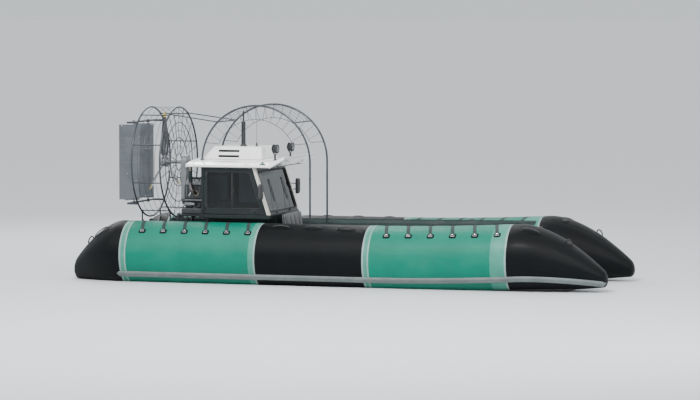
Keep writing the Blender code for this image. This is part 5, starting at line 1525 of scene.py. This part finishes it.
def makeWindows():
    half, low, high = cabinSettings.screen
    for proud, inset, bar in ((-.001, 0, gasketBar), (-.0225, .004, .01)):
        corners = [screenSpot(y, z, proud) for y, z in oblong(half - inset, low + inset, high - inset)]
        hose("screenGasket", roundedRoute(corners, .05), bar, 10, closed=True)
    half, low, high = cabinSettings.rearWindow
    corners = [spot(cabinRear - .001, y, z) for y, z in oblong(half, low, high)]
    hose("rearWindowGasket", roundedRoute(corners, .05), gasketBar, 10, closed=True)
    for height in (low + .05 + .085 * k for k in range(5)):
        stbd, port = [spot(cabinRear + .009, y, height) for y in (-half + .01, half - .01)]
        rod("rearWindowGasket", stbd, port, .0012, 6)
    finishPieces(screenGasket="gasketRubber", rearWindowGasket="gasketRubber")


def makeDoor(side, sideName):
    out = outward(side)
    for y in (.7808, .7495):
        corners = [spot(station, side * y, z) for station, z in cabinSettings.doorWindow]
        hose("doorGasket", roundedRoute(corners, .045), gasketBar - .001, 10, closed=True)
    # sliding pane: a middle bar and a small pull
    boxed("doorGasket", (2.615, 2.637), around(side * .765, .009), (1.292, 1.888), .003)
    boxed("doorGasket", (2.645, 2.66), around(side * .773, .004), (1.55, 1.63), .002)
    edge = [(2.15, 1.215), (screenStation(1.215) - .07, 1.215), (screenStation(1.94) - .07, 1.94),
            (2.15, 1.94)]
    corners = [spot(station, side * .7805, z) for station, z in edge]
    hose("doorTrim", roundedRoute(corners, .03), .0022, 6, closed=True)
    # rivets along the bands
    places = [place for k in range(15) for place in ((2.17 + .067 * k, 1.228), (2.17 + .055 * k, 1.925))]
    for station, height in places + [(2.168, 1.27 + .076 * k) for k in range(9)]:
        rivet("doorTrim", spot(station, side * .7802, height), out, .0036)
    # recessed plate with a pull lever
    boxed("doorHandle", (2.955, 3.065), around(side * .781, .0025), (1.233, 1.281), .0024)
    grip = [spot(2.972 + .076 * k / 12, side * (.783 + .02 * sin(pi * k / 12) ** .5), 1.257)
            for k in range(13)]
    hose("doorHandle", grip, .0062, 10, flat=.7, up=upZ)
    turned("doorHandle", mm(0, 7.5, 3, 7.5, 4, 5), spot(3.052, side * .7835, 1.257), out, 14)
    for height in (1.343, 1.852):
        # leaf of each hinge on the door, with screws and a pin cap
        boxed("doorHandle", (2.16, 2.198), around(side * .7815, .0022), around(height, .028), .0015)
        for dz in (-.017, 0, .017):
            rivet("doorHandle", spot(2.186, side * .7835, height + dz), out, .0034)
        turned("doorHandle", mm(30.2, 8.5, 34, 8.5, 36, 6), spot(2.154, side * .791, height), upZ, 12)
    finishPieces(sideName, f"door_{sideName.lower()}", doorGasket="gasketRubber", doorTrim="cabinPaint",
        doorHandle="framePaint")


def makeWipers():
    out, reach, lean = vec(.765, 0, .25).normalized(), .4, .3
    for y in (-.36, .3):
        pivot = screenSpot(y, 1.226)
        turned("wiperArms", mm(-2, 17, 8, 17, 12, 14, 20, 10, 22, 6), pivot, out, 20)
        tip, elbow = [screenSpot(y + sin(lean) * reach * share, 1.226 + cos(lean) * reach * share, proud)
                      for share, proud in ((1, -.006), (.35, .016))]
        hose("wiperArms", smoothRoute([pivot + out * .014, elbow, tip], 8), .0042, 8, flat=.6, up=out)
        run = (screenSpot(y + .3, 1.826) - screenSpot(y + .3, 1.276)).normalized()
        low, high = tip - run * .22, tip + run * .16
        hose("wiperArms", [low - out * .002, tip + out * .001, high - out * .002], .0045, 8, flat=.7, up=out)
        rod("wiperRubbers", low - out * .0085, high - out * .0085, .0028, 6)
    finishPieces(wiperArms="framePaint", wiperRubbers="gasketRubber")


def makeCabinTrim():
    for side in ends:
        out = outward(side)
        for k in range(20):
            rivet("cabinRivets", spot(cabinRear + .035 + .058 * k, side * cabinHalf, 1.15), out, .0038)
        for k, height in product(range(14), (1.08, .42)):
            rivet("cabinRivets", spot(cabinRear + .05 + .078 * k, side * .4702, height), out, .0038)
        boxed("cabinSeams", (cabinRear + .01, cabinFront - .01), around(side * .4715, .0022), (.6, .64), .001)
        # side steps of the tub get a drain lip under the ledge
        rear, front = [spot(station, side * (cabinHalf - .006), 1.1335)
            for station in (cabinRear + .004, cabinFront - .004)]
        rod("cabinSeams", rear, front, .0045, 8)
        for k in range(9):
            rivet("cabinRivets", spot(cabinRear - .0002, side * .742, 1.24 + .08 * k), -alongX, .0038)
    for k, height in product(range(17), (1.222, 1.93)):
        rivet("cabinRivets", spot(cabinRear - .0002, -.72 + .09 * k, height), -alongX, .0038)
    # rubber bead round the roof's lower edge, and a lip on the visor
    edge = ((1.864, -.846), (3.296, -.846), (3.296, .846), (1.864, .846))
    corners = [spot(station, y, roofLow + .006) for station, y in edge]
    hose("roofBead", roundedRoute(corners, .02, 4), .0062, 8, closed=True)
    hose("roofBead", [spot(3.524, -.797 + 1.594 * k / 20, 2.118) for k in range(21)], .0068, 8)
    # louvres inside the vents of the roof box
    for height, side in product((2.125, 2.21), ends):
        wall, opening = .42 - .06 * (height - 2.005) / .275, around(height, .0175)
        boxed("ventLouvres", (2.262, 2.618), around(side * (wall - .0225), .0018), opening, .001)
        for k in range(3):
            boxed("ventLouvres", (2.262, 2.618), around(side * (wall - .011), .009),
                around(height - .011 + .011 * k, .0012), .0005)
        for k in range(8):
            boxed("ventLouvres", (2.275 + .046 * k, 2.278 + .046 * k), around(side * (wall - .012), .008),
                opening, .0005)
    # screws that hold the roof box and the visor
    for side in ends:
        for k in range(6):
            rivet("cabinRivets", spot(1.97 + .2 * k, side * .452, roofHeight(.452)),
                vec(0, side * .08, 1), .006)
        for k in range(2):
            boxed("roofBead", (3.3 + .06 * k, 3.36 + .06 * k), around(side * .55, .012),
                (1.975 + .038 * k, 1.981 + .038 * k), .002)
    finishPieces(cabinRivets=("framePaint", "", "cabin_dark"), cabinSeams="cabinPaint",
                 roofBead="gasketRubber", ventLouvres="gasketRubber")
    for (side, sideName), lens in zip(bothSides, ("greenLens", "redLens")):
        place = spot(3.16, side * .8, roofHeight(.8))
        slabAt("navBase", place, (-.045, -.02, -.006), (.045, .02, .01), .004)
        turned("navBase", mm(36, 16, 38, 16, 42, 10), place, upZ, 20)
        turned("navLens", mm(9, 16, 11, 17.5, 34, 17.5, 36, 16), place, upZ, 24)
        finishPieces(sideName, navBase="mouldedPlastic", navLens=lens)


def makeHelm():
    panelOut = vec(-.6, 0, .8)
    turn = axisFrame(panelOut)

    def panelSpot(u, y):
        return spot(2.98 + .16 * u, y, 1.075 + .12 * u)

    for u, y, radius in ((.5, .075, .04), (.5, .17, .04), (.5, .265, .04), (.55, .345, .026), (.55, 0, .026)):
        place = panelSpot(u, y)
        bezel = [(-.002, radius + .006), (.006, radius + .006), (.008, radius + .003), (.008, radius),
                 (.003, radius - .001)]
        turned("gaugeBezels", bezel, place, panelOut, 32)
        turned("gaugeDials", [(.002, radius), (.0042, radius - .001), (.0044, .004)], place, panelOut, 32)
        for out in (turn @ polar(1, radians(220 - 26 * k)) for k in range(11)):
            near, far = [place + panelOut * .0048 + out * radius * share for share in (.72, .88)]
            rod("gaugeMarks", near, far, .0008, 4)
        middle = place + panelOut * .0052
        rod("gaugeMarks", middle, middle + turn @ polar(1, radians(150)) * radius * .7, .0011, 4)
    for k in range(6):
        switch = mm(-1, 9, 3, 9, 4, 6, 14, 3, 18, 3.6)
        turned("gaugeBezels", switch, panelSpot(.5, -.1 - .035 * k), panelOut, 12)
    boxed("throttleLever", (2.9, 2.98), (-.035, .035), (.86, 1.02), .006)
    rod("throttleLever", spot(2.93, 0, 1.01), spot(2.9, 0, 1.12), .006, 10)
    turned("throttleLever", mm(-20, 8, -16, 14, 16, 14, 20, 8), spot(2.898, 0, 1.128), acrossY, 16)
    middle, axis, rim = spot(2.86, .205, 1.03), vec(-.88295, 0, .46947), []
    turn = axisFrame(axis)
    for angle in turns(72):
        bar, out = .0124 * (1 + .05 * cos(18 * angle)), polar(1, angle)
        rim.append([middle + turn @ (out * (.165 + bar * cos(roll)) + upZ * bar * sin(roll))
            for roll in turns(14)][::-1])
    skin("wheelGrip", rim, closed=True)
    for angle in turns(3):
        out = turn @ polar(1, angle + pi / 2)
        steps = ((0, .01), (.05, .008), (.11, .003), (.156, 0))
        spoke = [middle + out * far - axis * sunk for far, sunk in steps]
        hose("wheelSpokes", spoke, .0135, 12, flat=.3, up=axis)
    hub = mm(-99.8, 20, -96, 27.8, -30, 27.8, -20, 34, -4, 38, 6, 36, 12, 28, 14.5, 10)
    turned("wheelSpokes", hub, middle, axis, 32)
    finishPieces(gaugeDials="gaugeFace", gaugeMarks="whiteMark", gaugeBezels="stainless",
                 throttleLever=("mouldedPlastic", "", "frame_black"))
    finishPieces(body="steering_wheel", wheelSpokes=("framePaint", "steering_wheel"),
        wheelGrip=("seatVinyl", "", "frame_black"))


makeWindows()
for side, sideName in bothSides:
    makeDoor(side, sideName)
makeWipers()
makeCabinTrim()
makeHelm()
print("cabin ready")

# Seats and bench: boxed cushions that a cloth simulation swells

seatSettings = Settings(floor=.3469, start=2.26, middle=.205, half=.193, back=.66, lean=79.5)
benchSettings = Settings(start=3.42, half=.44, back=.545, channels=(-.22, 0, .22))
stuffingSettings = Settings(voxel=.0085, pressure=4, frames=20)


def addPad(name, cords, low, high, seams, channels, count=34, rings=40, corner=.045, stand=None):
    # two piped seams, a crowned top and cords sewn down across it; stand lifts the finished pad
    sewn = [(form, len(gathered.setdefault(form, ([], []))[0])) for form in (name, cords)]
    low, high = Vector(low), Vector(high)
    centre, half = (low + high) / 2, (high - low) / 2
    rise = high.z - seams[1]

    def placed(u, v, z):
        x, y = u * half.x, v * half.y
        inX = max(-half.x + corner, min(half.x - corner, x))
        inY = max(-half.y + corner, min(half.y - corner, y))
        x, y = x - inX, y - inY
        share = max(abs(x), abs(y)) / max(hypot(x, y), 1e-9)
        waistX, waistY = 1 - .014 * (1 - min(1, v * v)), 1 - .01 * (1 - min(1, u * u))
        return vec(centre.x + (inX + x * share) * waistX, centre.y + (inY + y * share) * waistY, z)

    def height(u, v):
        swell = sqrt(max(0, 1 - abs(u) ** 3.4) * max(0, 1 - abs(v) ** 4.5))
        dent = sum(exp(-((v * half.y - channel) / .016) ** 2) for channel in channels)
        return seams[1] + rise * swell * (1 - .55 * min(1, dent))

    def square(share):
        sides = ((-1, -1, 1, 0), (1, -1, 0, 1), (1, 1, -1, 0), (-1, 1, 0, -1))
        return [(share * (u + 2 * du * k / count), share * (v + 2 * dv * k / count))
                for u, v, du, dv in sides for k in range(count)]

    rows = [(.02, low.z), (.4, low.z), (.8, low.z), (.975, low.z + .001), (.993, low.z + .004)]
    rows += [(1 + .014 * sin(pi * k / 5), seams[0] + (seams[1] - seams[0]) * k / 5) for k in range(6)]
    rows = [[placed(u, v, z) for u, v in square(share)] for share, z in rows]
    for share in (1 - .98 * k / rings for k in range(1, rings + 1)):
        rows.append([placed(u, v, height(u, v)) for u, v in square(share)])
    skin(name, rows)
    for level in seams:
        hose(cords, [placed(u, v, level) for u, v in square(1.004)], .004, 8, closed=True, up=upZ)
    for v in (channel / half.y for channel in channels):
        cord = [placed(u / 20, v, height(u / 20, v) + .0016) for u in range(-19, 20)]
        hose(cords, cord, .0022, 8, up=acrossY)
    for form, start in sewn:
        points = gathered[form][0]
        points[start:] = [tuple(stand @ Vector(point)) if stand else point for point in points[start:]]


def stuffPad(piece, sewn, cap):
    # blow the sewn cover up with cloth, held where sewn is true, then keep only the shape
    remesh = piece.modifiers.new("even", "REMESH")
    remesh.mode, remesh.voxel_size = "VOXEL", stuffingSettings.voxel
    even = bpy.data.meshes.new_from_object(piece.evaluated_get(bpy.context.evaluated_depsgraph_get()))
    piece.modifiers.remove(remesh)
    piece.data = even
    start = [Vector(vertex.co) for vertex in even.vertices]
    held = piece.vertex_groups.new(name="sewn")
    held.add([k for k, point in enumerate(start) if sewn(point)], 1, "REPLACE")
    cloth = piece.modifiers.new("stuffing", "CLOTH")
    cloth.collision_settings.use_collision = False
    settings = cloth.settings
    settings.use_pressure, settings.uniform_pressure_force = True, stuffingSettings.pressure
    settings.effector_weights.gravity, settings.vertex_group_mass, settings.quality = 0, "sewn", 3
    for frame in range(1, stuffingSettings.frames + 1):
        bpy.context.scene.frame_set(frame)
    blown = piece.evaluated_get(bpy.context.evaluated_depsgraph_get()).data
    moves = [Vector(vertex.co) - first for vertex, first in zip(blown.vertices, start)]
    piece.modifiers.remove(cloth)
    bpy.context.scene.frame_set(1)
    for vertex, first, move in zip(even.vertices, start, moves):
        vertex.co = first + move * min(1, cap / max(move.length, 1e-9))
    even.polygons.foreach_set("use_smooth", [True] * len(even.polygons))
    even.update()
    print(piece.name, "swelled", round(max(move.length for move in moves), 4), "points", len(start))


def finishPad(name, node, side, body, channels, middle, level, cap, stand=None):
    # the channels, the piped edge and the flat underside stay where they are sewn
    pad = finishPiece(name, "seatVinyl", node, side=side, body=body, sharpAt=60)

    def sewn(point, reach=.005):
        point = stand.inverted() @ point if stand else point
        return point.z < level + reach or any(abs(point.y - middle - channel) < reach for channel in channels)

    stuffPad(pad, sewn, cap)


def leanMatrix(pivot, degrees):
    lean = Matrix.Rotation(radians(degrees), 4, "Y")
    return Matrix.Translation(pivot) @ lean @ Matrix.Translation(-Vector(pivot))


def makeSeat(side, sideName):
    floor, start, middle, half, length, lean = seatSettings.values()
    y, top = side * middle, floor + .36
    low, high = spot(start + .075, y - half, top - .105), spot(start + .455, y + half, top - .004)
    addPad("seatCushion", "seatPiping", low, high, (top - .094, top - .036), (-.06, .06))
    # the back is made lying down, then stood up and leaned
    hinge = spot(start + .085, y, top - .02)
    stand = leanMatrix(hinge, lean)
    low, high = hinge + vec(-length, -half, -.04), hinge + vec(0, half, .042)
    addPad("seatBack", "seatPiping", low, high, (hinge.z - .03, hinge.z + .014), (-.07, .07), stand=stand)
    boxed("seatBase", (start + .105, start + .395), around(y, .15), (floor, floor + .012), .003)
    column = mm(10, 75, 20, 60, 30, 48, 215, 45, 235, 85, 250, 100)
    turned("seatBase", column, spot(start + .25, y, floor), upZ, 28)
    boxed("seatBase", (start + .07, start + .45), around(y, .185), (top - .118, top - .095), .008)
    for across, along in product((-.125, .125), (.13, .37)):
        bolt("seatBase", spot(start + along, y + across, floor + .011), upZ, .006)
    finishPieces(sideName, seatBase=("mouldedPlastic", "seat", "seat_vinyl"))
    finishPad("seatCushion", "", sideName, "hull", (-.06, .06), y, top - .036, .012)
    finishPad("seatBack", "", sideName, "hull", (-.07, .07), y, hinge.z + .014, .012, stand)
    finishPieces(sideName, seatPiping="seatPiping")


def makeBench():
    start, half, length, channels = benchSettings.values()
    top = deckTop + .32
    level = top + .0206
    low, high = spot(start + .117, -half + .012, level), spot(start + .519, half - .012, level + .0798)
    addPad("benchCushion", "benchPiping", low, high, (level + .01, level + .052), channels, 46, 56)
    # back pad, made lying and leaned up
    pivot = spot(start + .043, 0, top + .002)
    stand = leanMatrix(pivot, 180 - degrees(atan2(.543, -.063)))
    low, high = pivot + vec(-length, -half + .002, -.04), pivot + vec(0, half - .002, .038)
    addPad("benchBackPad", "benchBackPiping", low, high, (pivot.z - .028, pivot.z + .01),
           channels, 46, 56, stand=stand)
    for side in ends:
        for k, height in product(range(6), (deckTop + .03, top - .025)):
            place = spot(start + .035 + .09 * k, side * (half + .0004), height)
            rivet("benchTrim", place, outward(side), .004)
        grip = []
        for k in range(13):
            y = side * (half + .002 + .016 * sin(pi * k / 12) ** .5)
            grip.append(spot(start + .2 + .12 * k / 12, y, deckTop + .19))
        hose("benchTrim", grip, .0052, 8)
        # back brackets up from the locker
        boxed("benchTrim", (start - .003, start + .0002), around(side * .36, .018),
            (top - .12, top + .02), .001)
    for k in range(9):
        rivet("benchTrim", spot(start + .5202, -.4 + .1 * k, deckTop + .03), alongX, .004)
    axis = spot(start + .54, 0, top + .004)
    for y in (-.3 + .3 * k for k in range(3)):
        rod("lidHinges", axis + acrossY * (y - .035), axis + acrossY * (y + .035), .0046, 12)
        slabAt("lidHinges", axis, (-.0195, y - .034, -.032), (-.0165, y + .034, .001), .001)
        slabAt("lidHinges", axis, (-.018, y - .012, -.002), (0, y + .012, .002), .0008)
        for dy in (-.024, .024):
            rivet("lidEdge", axis + vec(-.0142, y + dy, .009), alongX, .0028)
    slabAt("lidEdge", axis, (-.015, -.36, .0045), (-.0125, .36, .0155), .001)
    finishPad("benchCushion", "bench_cushion", "", "bench_lid", channels, 0, level + .052, .011)
    finishPad("benchBackPad", "bench_back", "", "hull", channels, 0, pivot.z + .01, .011, stand)
    metal = ("stainless", "", "hull_metal")
    finishPieces(body="bench_lid", benchPiping="seatPiping")
    finishPieces(benchBackPiping="seatPiping", benchTrim=metal, lidHinges=metal)
    finishPieces(body="bench_lid", lidEdge=metal)


for side, sideName in bothSides:
    makeSeat(side, sideName)
makeBench()
print("seats and bench ready")

# Deck and hull details

deckSettings = Settings(top=.3263, start=.49, end=7, half=.525, bowEnd=7.95, bowTop=.78)


def makeDeckDetails():
    top, start, end, half, bowEnd, bowTop = deckSettings.values()
    for side in ends:
        for station in (start + .04 + .12 * k for k in range(54)):
            if station < end - .02 and not 2.06 < station < 3.3:
                rivet("deckRivets", spot(station, side * (half - .018), top), upZ, .0045)
        for place in (spot(station, side * .485, top) for station in (4.35, 5.25, 6.15, 6.8)):
            # fold-down lashing ring on its plate
            slabAt("lashingRings", place, (-.022, -.022, 0), (.022, .022, .004), .0015)
            ring = [vec(.026 * cos(turn), side * -.027 * sin(turn), .0075) for turn in turns(16)]
            hose("lashingRings", [place + point for point in ring], .0036, 8, closed=True)
            bow = [vec(.012 * cos(turn), 0, .003 + .008 * sin(turn)) for turn in turns(12)[:7]]
            hose("lashingRings", [place + point for point in bow], .003, 6)
    # stiffeners under the pan, between the tubes
    for station in (1 + .7 * k for k in range(8)):
        boxed("panStiffeners", around(station, .02), (-.34, .34), (.0682, .083), .003)
    # flush hatch with a ring pull on the bow step
    boxed("bowHatch", (7.14, 7.4), (-.24, .24), (bowTop + .0002, bowTop + .007), .003)
    for k, y in product(range(6), (-.225, .225)):
        rivet("deckRivets", spot(7.155 + .046 * k, y, bowTop + .007), upZ, .004)
    cup = mm(0, 24, 3, 24, 3.5, 20, 1, 18)
    turned("lashingRings", cup, spot(7.27, 0, bowTop + .007), upZ, 24)
    hoop("lashingRings", spot(7.27, 0, bowTop + .0125), upZ, .014, .0025, 24, 6)
    # rubber edge on the bow step and grip strips on its top
    hose("bowStrips", [spot(bowEnd - .004, -.42 + .84 * k / 16, bowTop - .002) for k in range(17)], .012, 10)
    for k in range(2):
        boxed("bowStrips", (7.66 + .12 * k, 7.71 + .12 * k), (-.38, .38),
            (bowTop + .0002, bowTop + .003), .001)
    for k in range(9):
        rivet("deckRivets", spot(7.058, -.36 + .09 * k, bowTop - .02), -alongX, .0045)
    finishPieces(deckRivets=("stainless", "", "hull_metal"), lashingRings="stainless",
                 panStiffeners="bareAluminium", bowHatch="treadPlate",
                 bowStrips=("gasketRubber", "", "grey_rubber"))


makeDeckDetails()
print("deck ready")

# Stage: a pale floor at the waterline, soft studio light and the camera

stageSettings = Settings(
    waterline=.12, floorHalf=1500, floorColour=(.66, .68, .7),
    azimuth=17, elevation=3.5, distance=50, aim=(-.06, 0, 1.42), lens=158,
    skyLow=(.6, .64, .67), skyHigh=(1, 1.02, 1.05), skyStrength=1.25,
    # place, aim, size in metres and power in watts of each lamp
    lamps={
        "keyLight": ((1.5, -13, 13.5), (0, -.9, .8), (7, 2.6), 3200),
        "fillLight": ((11, -9, 5), (.5, 0, 1.2), (6, 4), 420),
        "rimLight": ((-8, 9, 9), (-1.5, 0, 1.8), (6, 3), 700),
    },
)


def addToScene(name, data, place=(0, 0, 0), toward=None):
    item = bpy.data.objects.new(name, data)
    bpy.context.scene.collection.objects.link(item)
    item.location = place
    if toward:
        item.rotation_euler = Vector(toward).to_track_quat("-Z", "Y").to_euler()
    return item


def makeStage():
    s = stageSettings
    half, level = s.floorHalf, s.waterline
    floorMesh = bpy.data.meshes.new("floor")
    corners = [(-half, -half, level), (half, -half, level), (half, half, level), (-half, half, level)]
    floorMesh.from_pydata(corners, [], [(0, 1, 2, 3)])
    paper, tree, shader = newMaterial("floorPaper", s.floorColour)
    cloud = noiseNode(tree, objectPlace(tree), .7, 3, .5)
    tone = mixColours(tree, cloud, rgba(s.floorColour), rgba([part * .985 for part in s.floorColour]))
    for label, value in (("Base Color", tone), ("Roughness", .85), ("Specular IOR Level", .2)):
        feed(tree, value, shader[label])
    floorMesh.materials.append(paper)
    addToScene("floor", floorMesh)

    world = bpy.data.worlds.new("studio")
    world.use_nodes = True
    bpy.context.scene.world = world
    tree = world.node_tree
    up = placeNode(tree, "SeparateXYZ")
    feed(tree, placeNode(tree, "TexCoord").outputs["Generated"], up.inputs[0])
    sky = mixColours(tree, rangeNode(tree, up.outputs[2], 0, .7), rgba(s.skyLow), rgba(s.skyHigh))
    feed(tree, sky, tree.nodes["Background"].inputs["Color"])
    feed(tree, s.skyStrength, tree.nodes["Background"].inputs["Strength"])

    for name, (place, target, size, power) in s.lamps.items():
        lamp = bpy.data.lights.new(name, "AREA")
        lamp.shape, lamp.energy = "RECTANGLE", power
        lamp.size, lamp.size_y = size
        addToScene(name, lamp, place, Vector(target) - Vector(place))

    camera = bpy.data.cameras.new("camera")
    camera.lens, camera.clip_start, camera.clip_end = s.lens, 1, 4000
    turn, rise = radians(s.azimuth), radians(s.elevation)
    away = vec(sin(turn) * cos(rise), -cos(turn) * cos(rise), sin(rise))
    bpy.context.scene.camera = addToScene("camera", camera, Vector(s.aim) + away * s.distance, -away)


makeStage()
print("stage ready")
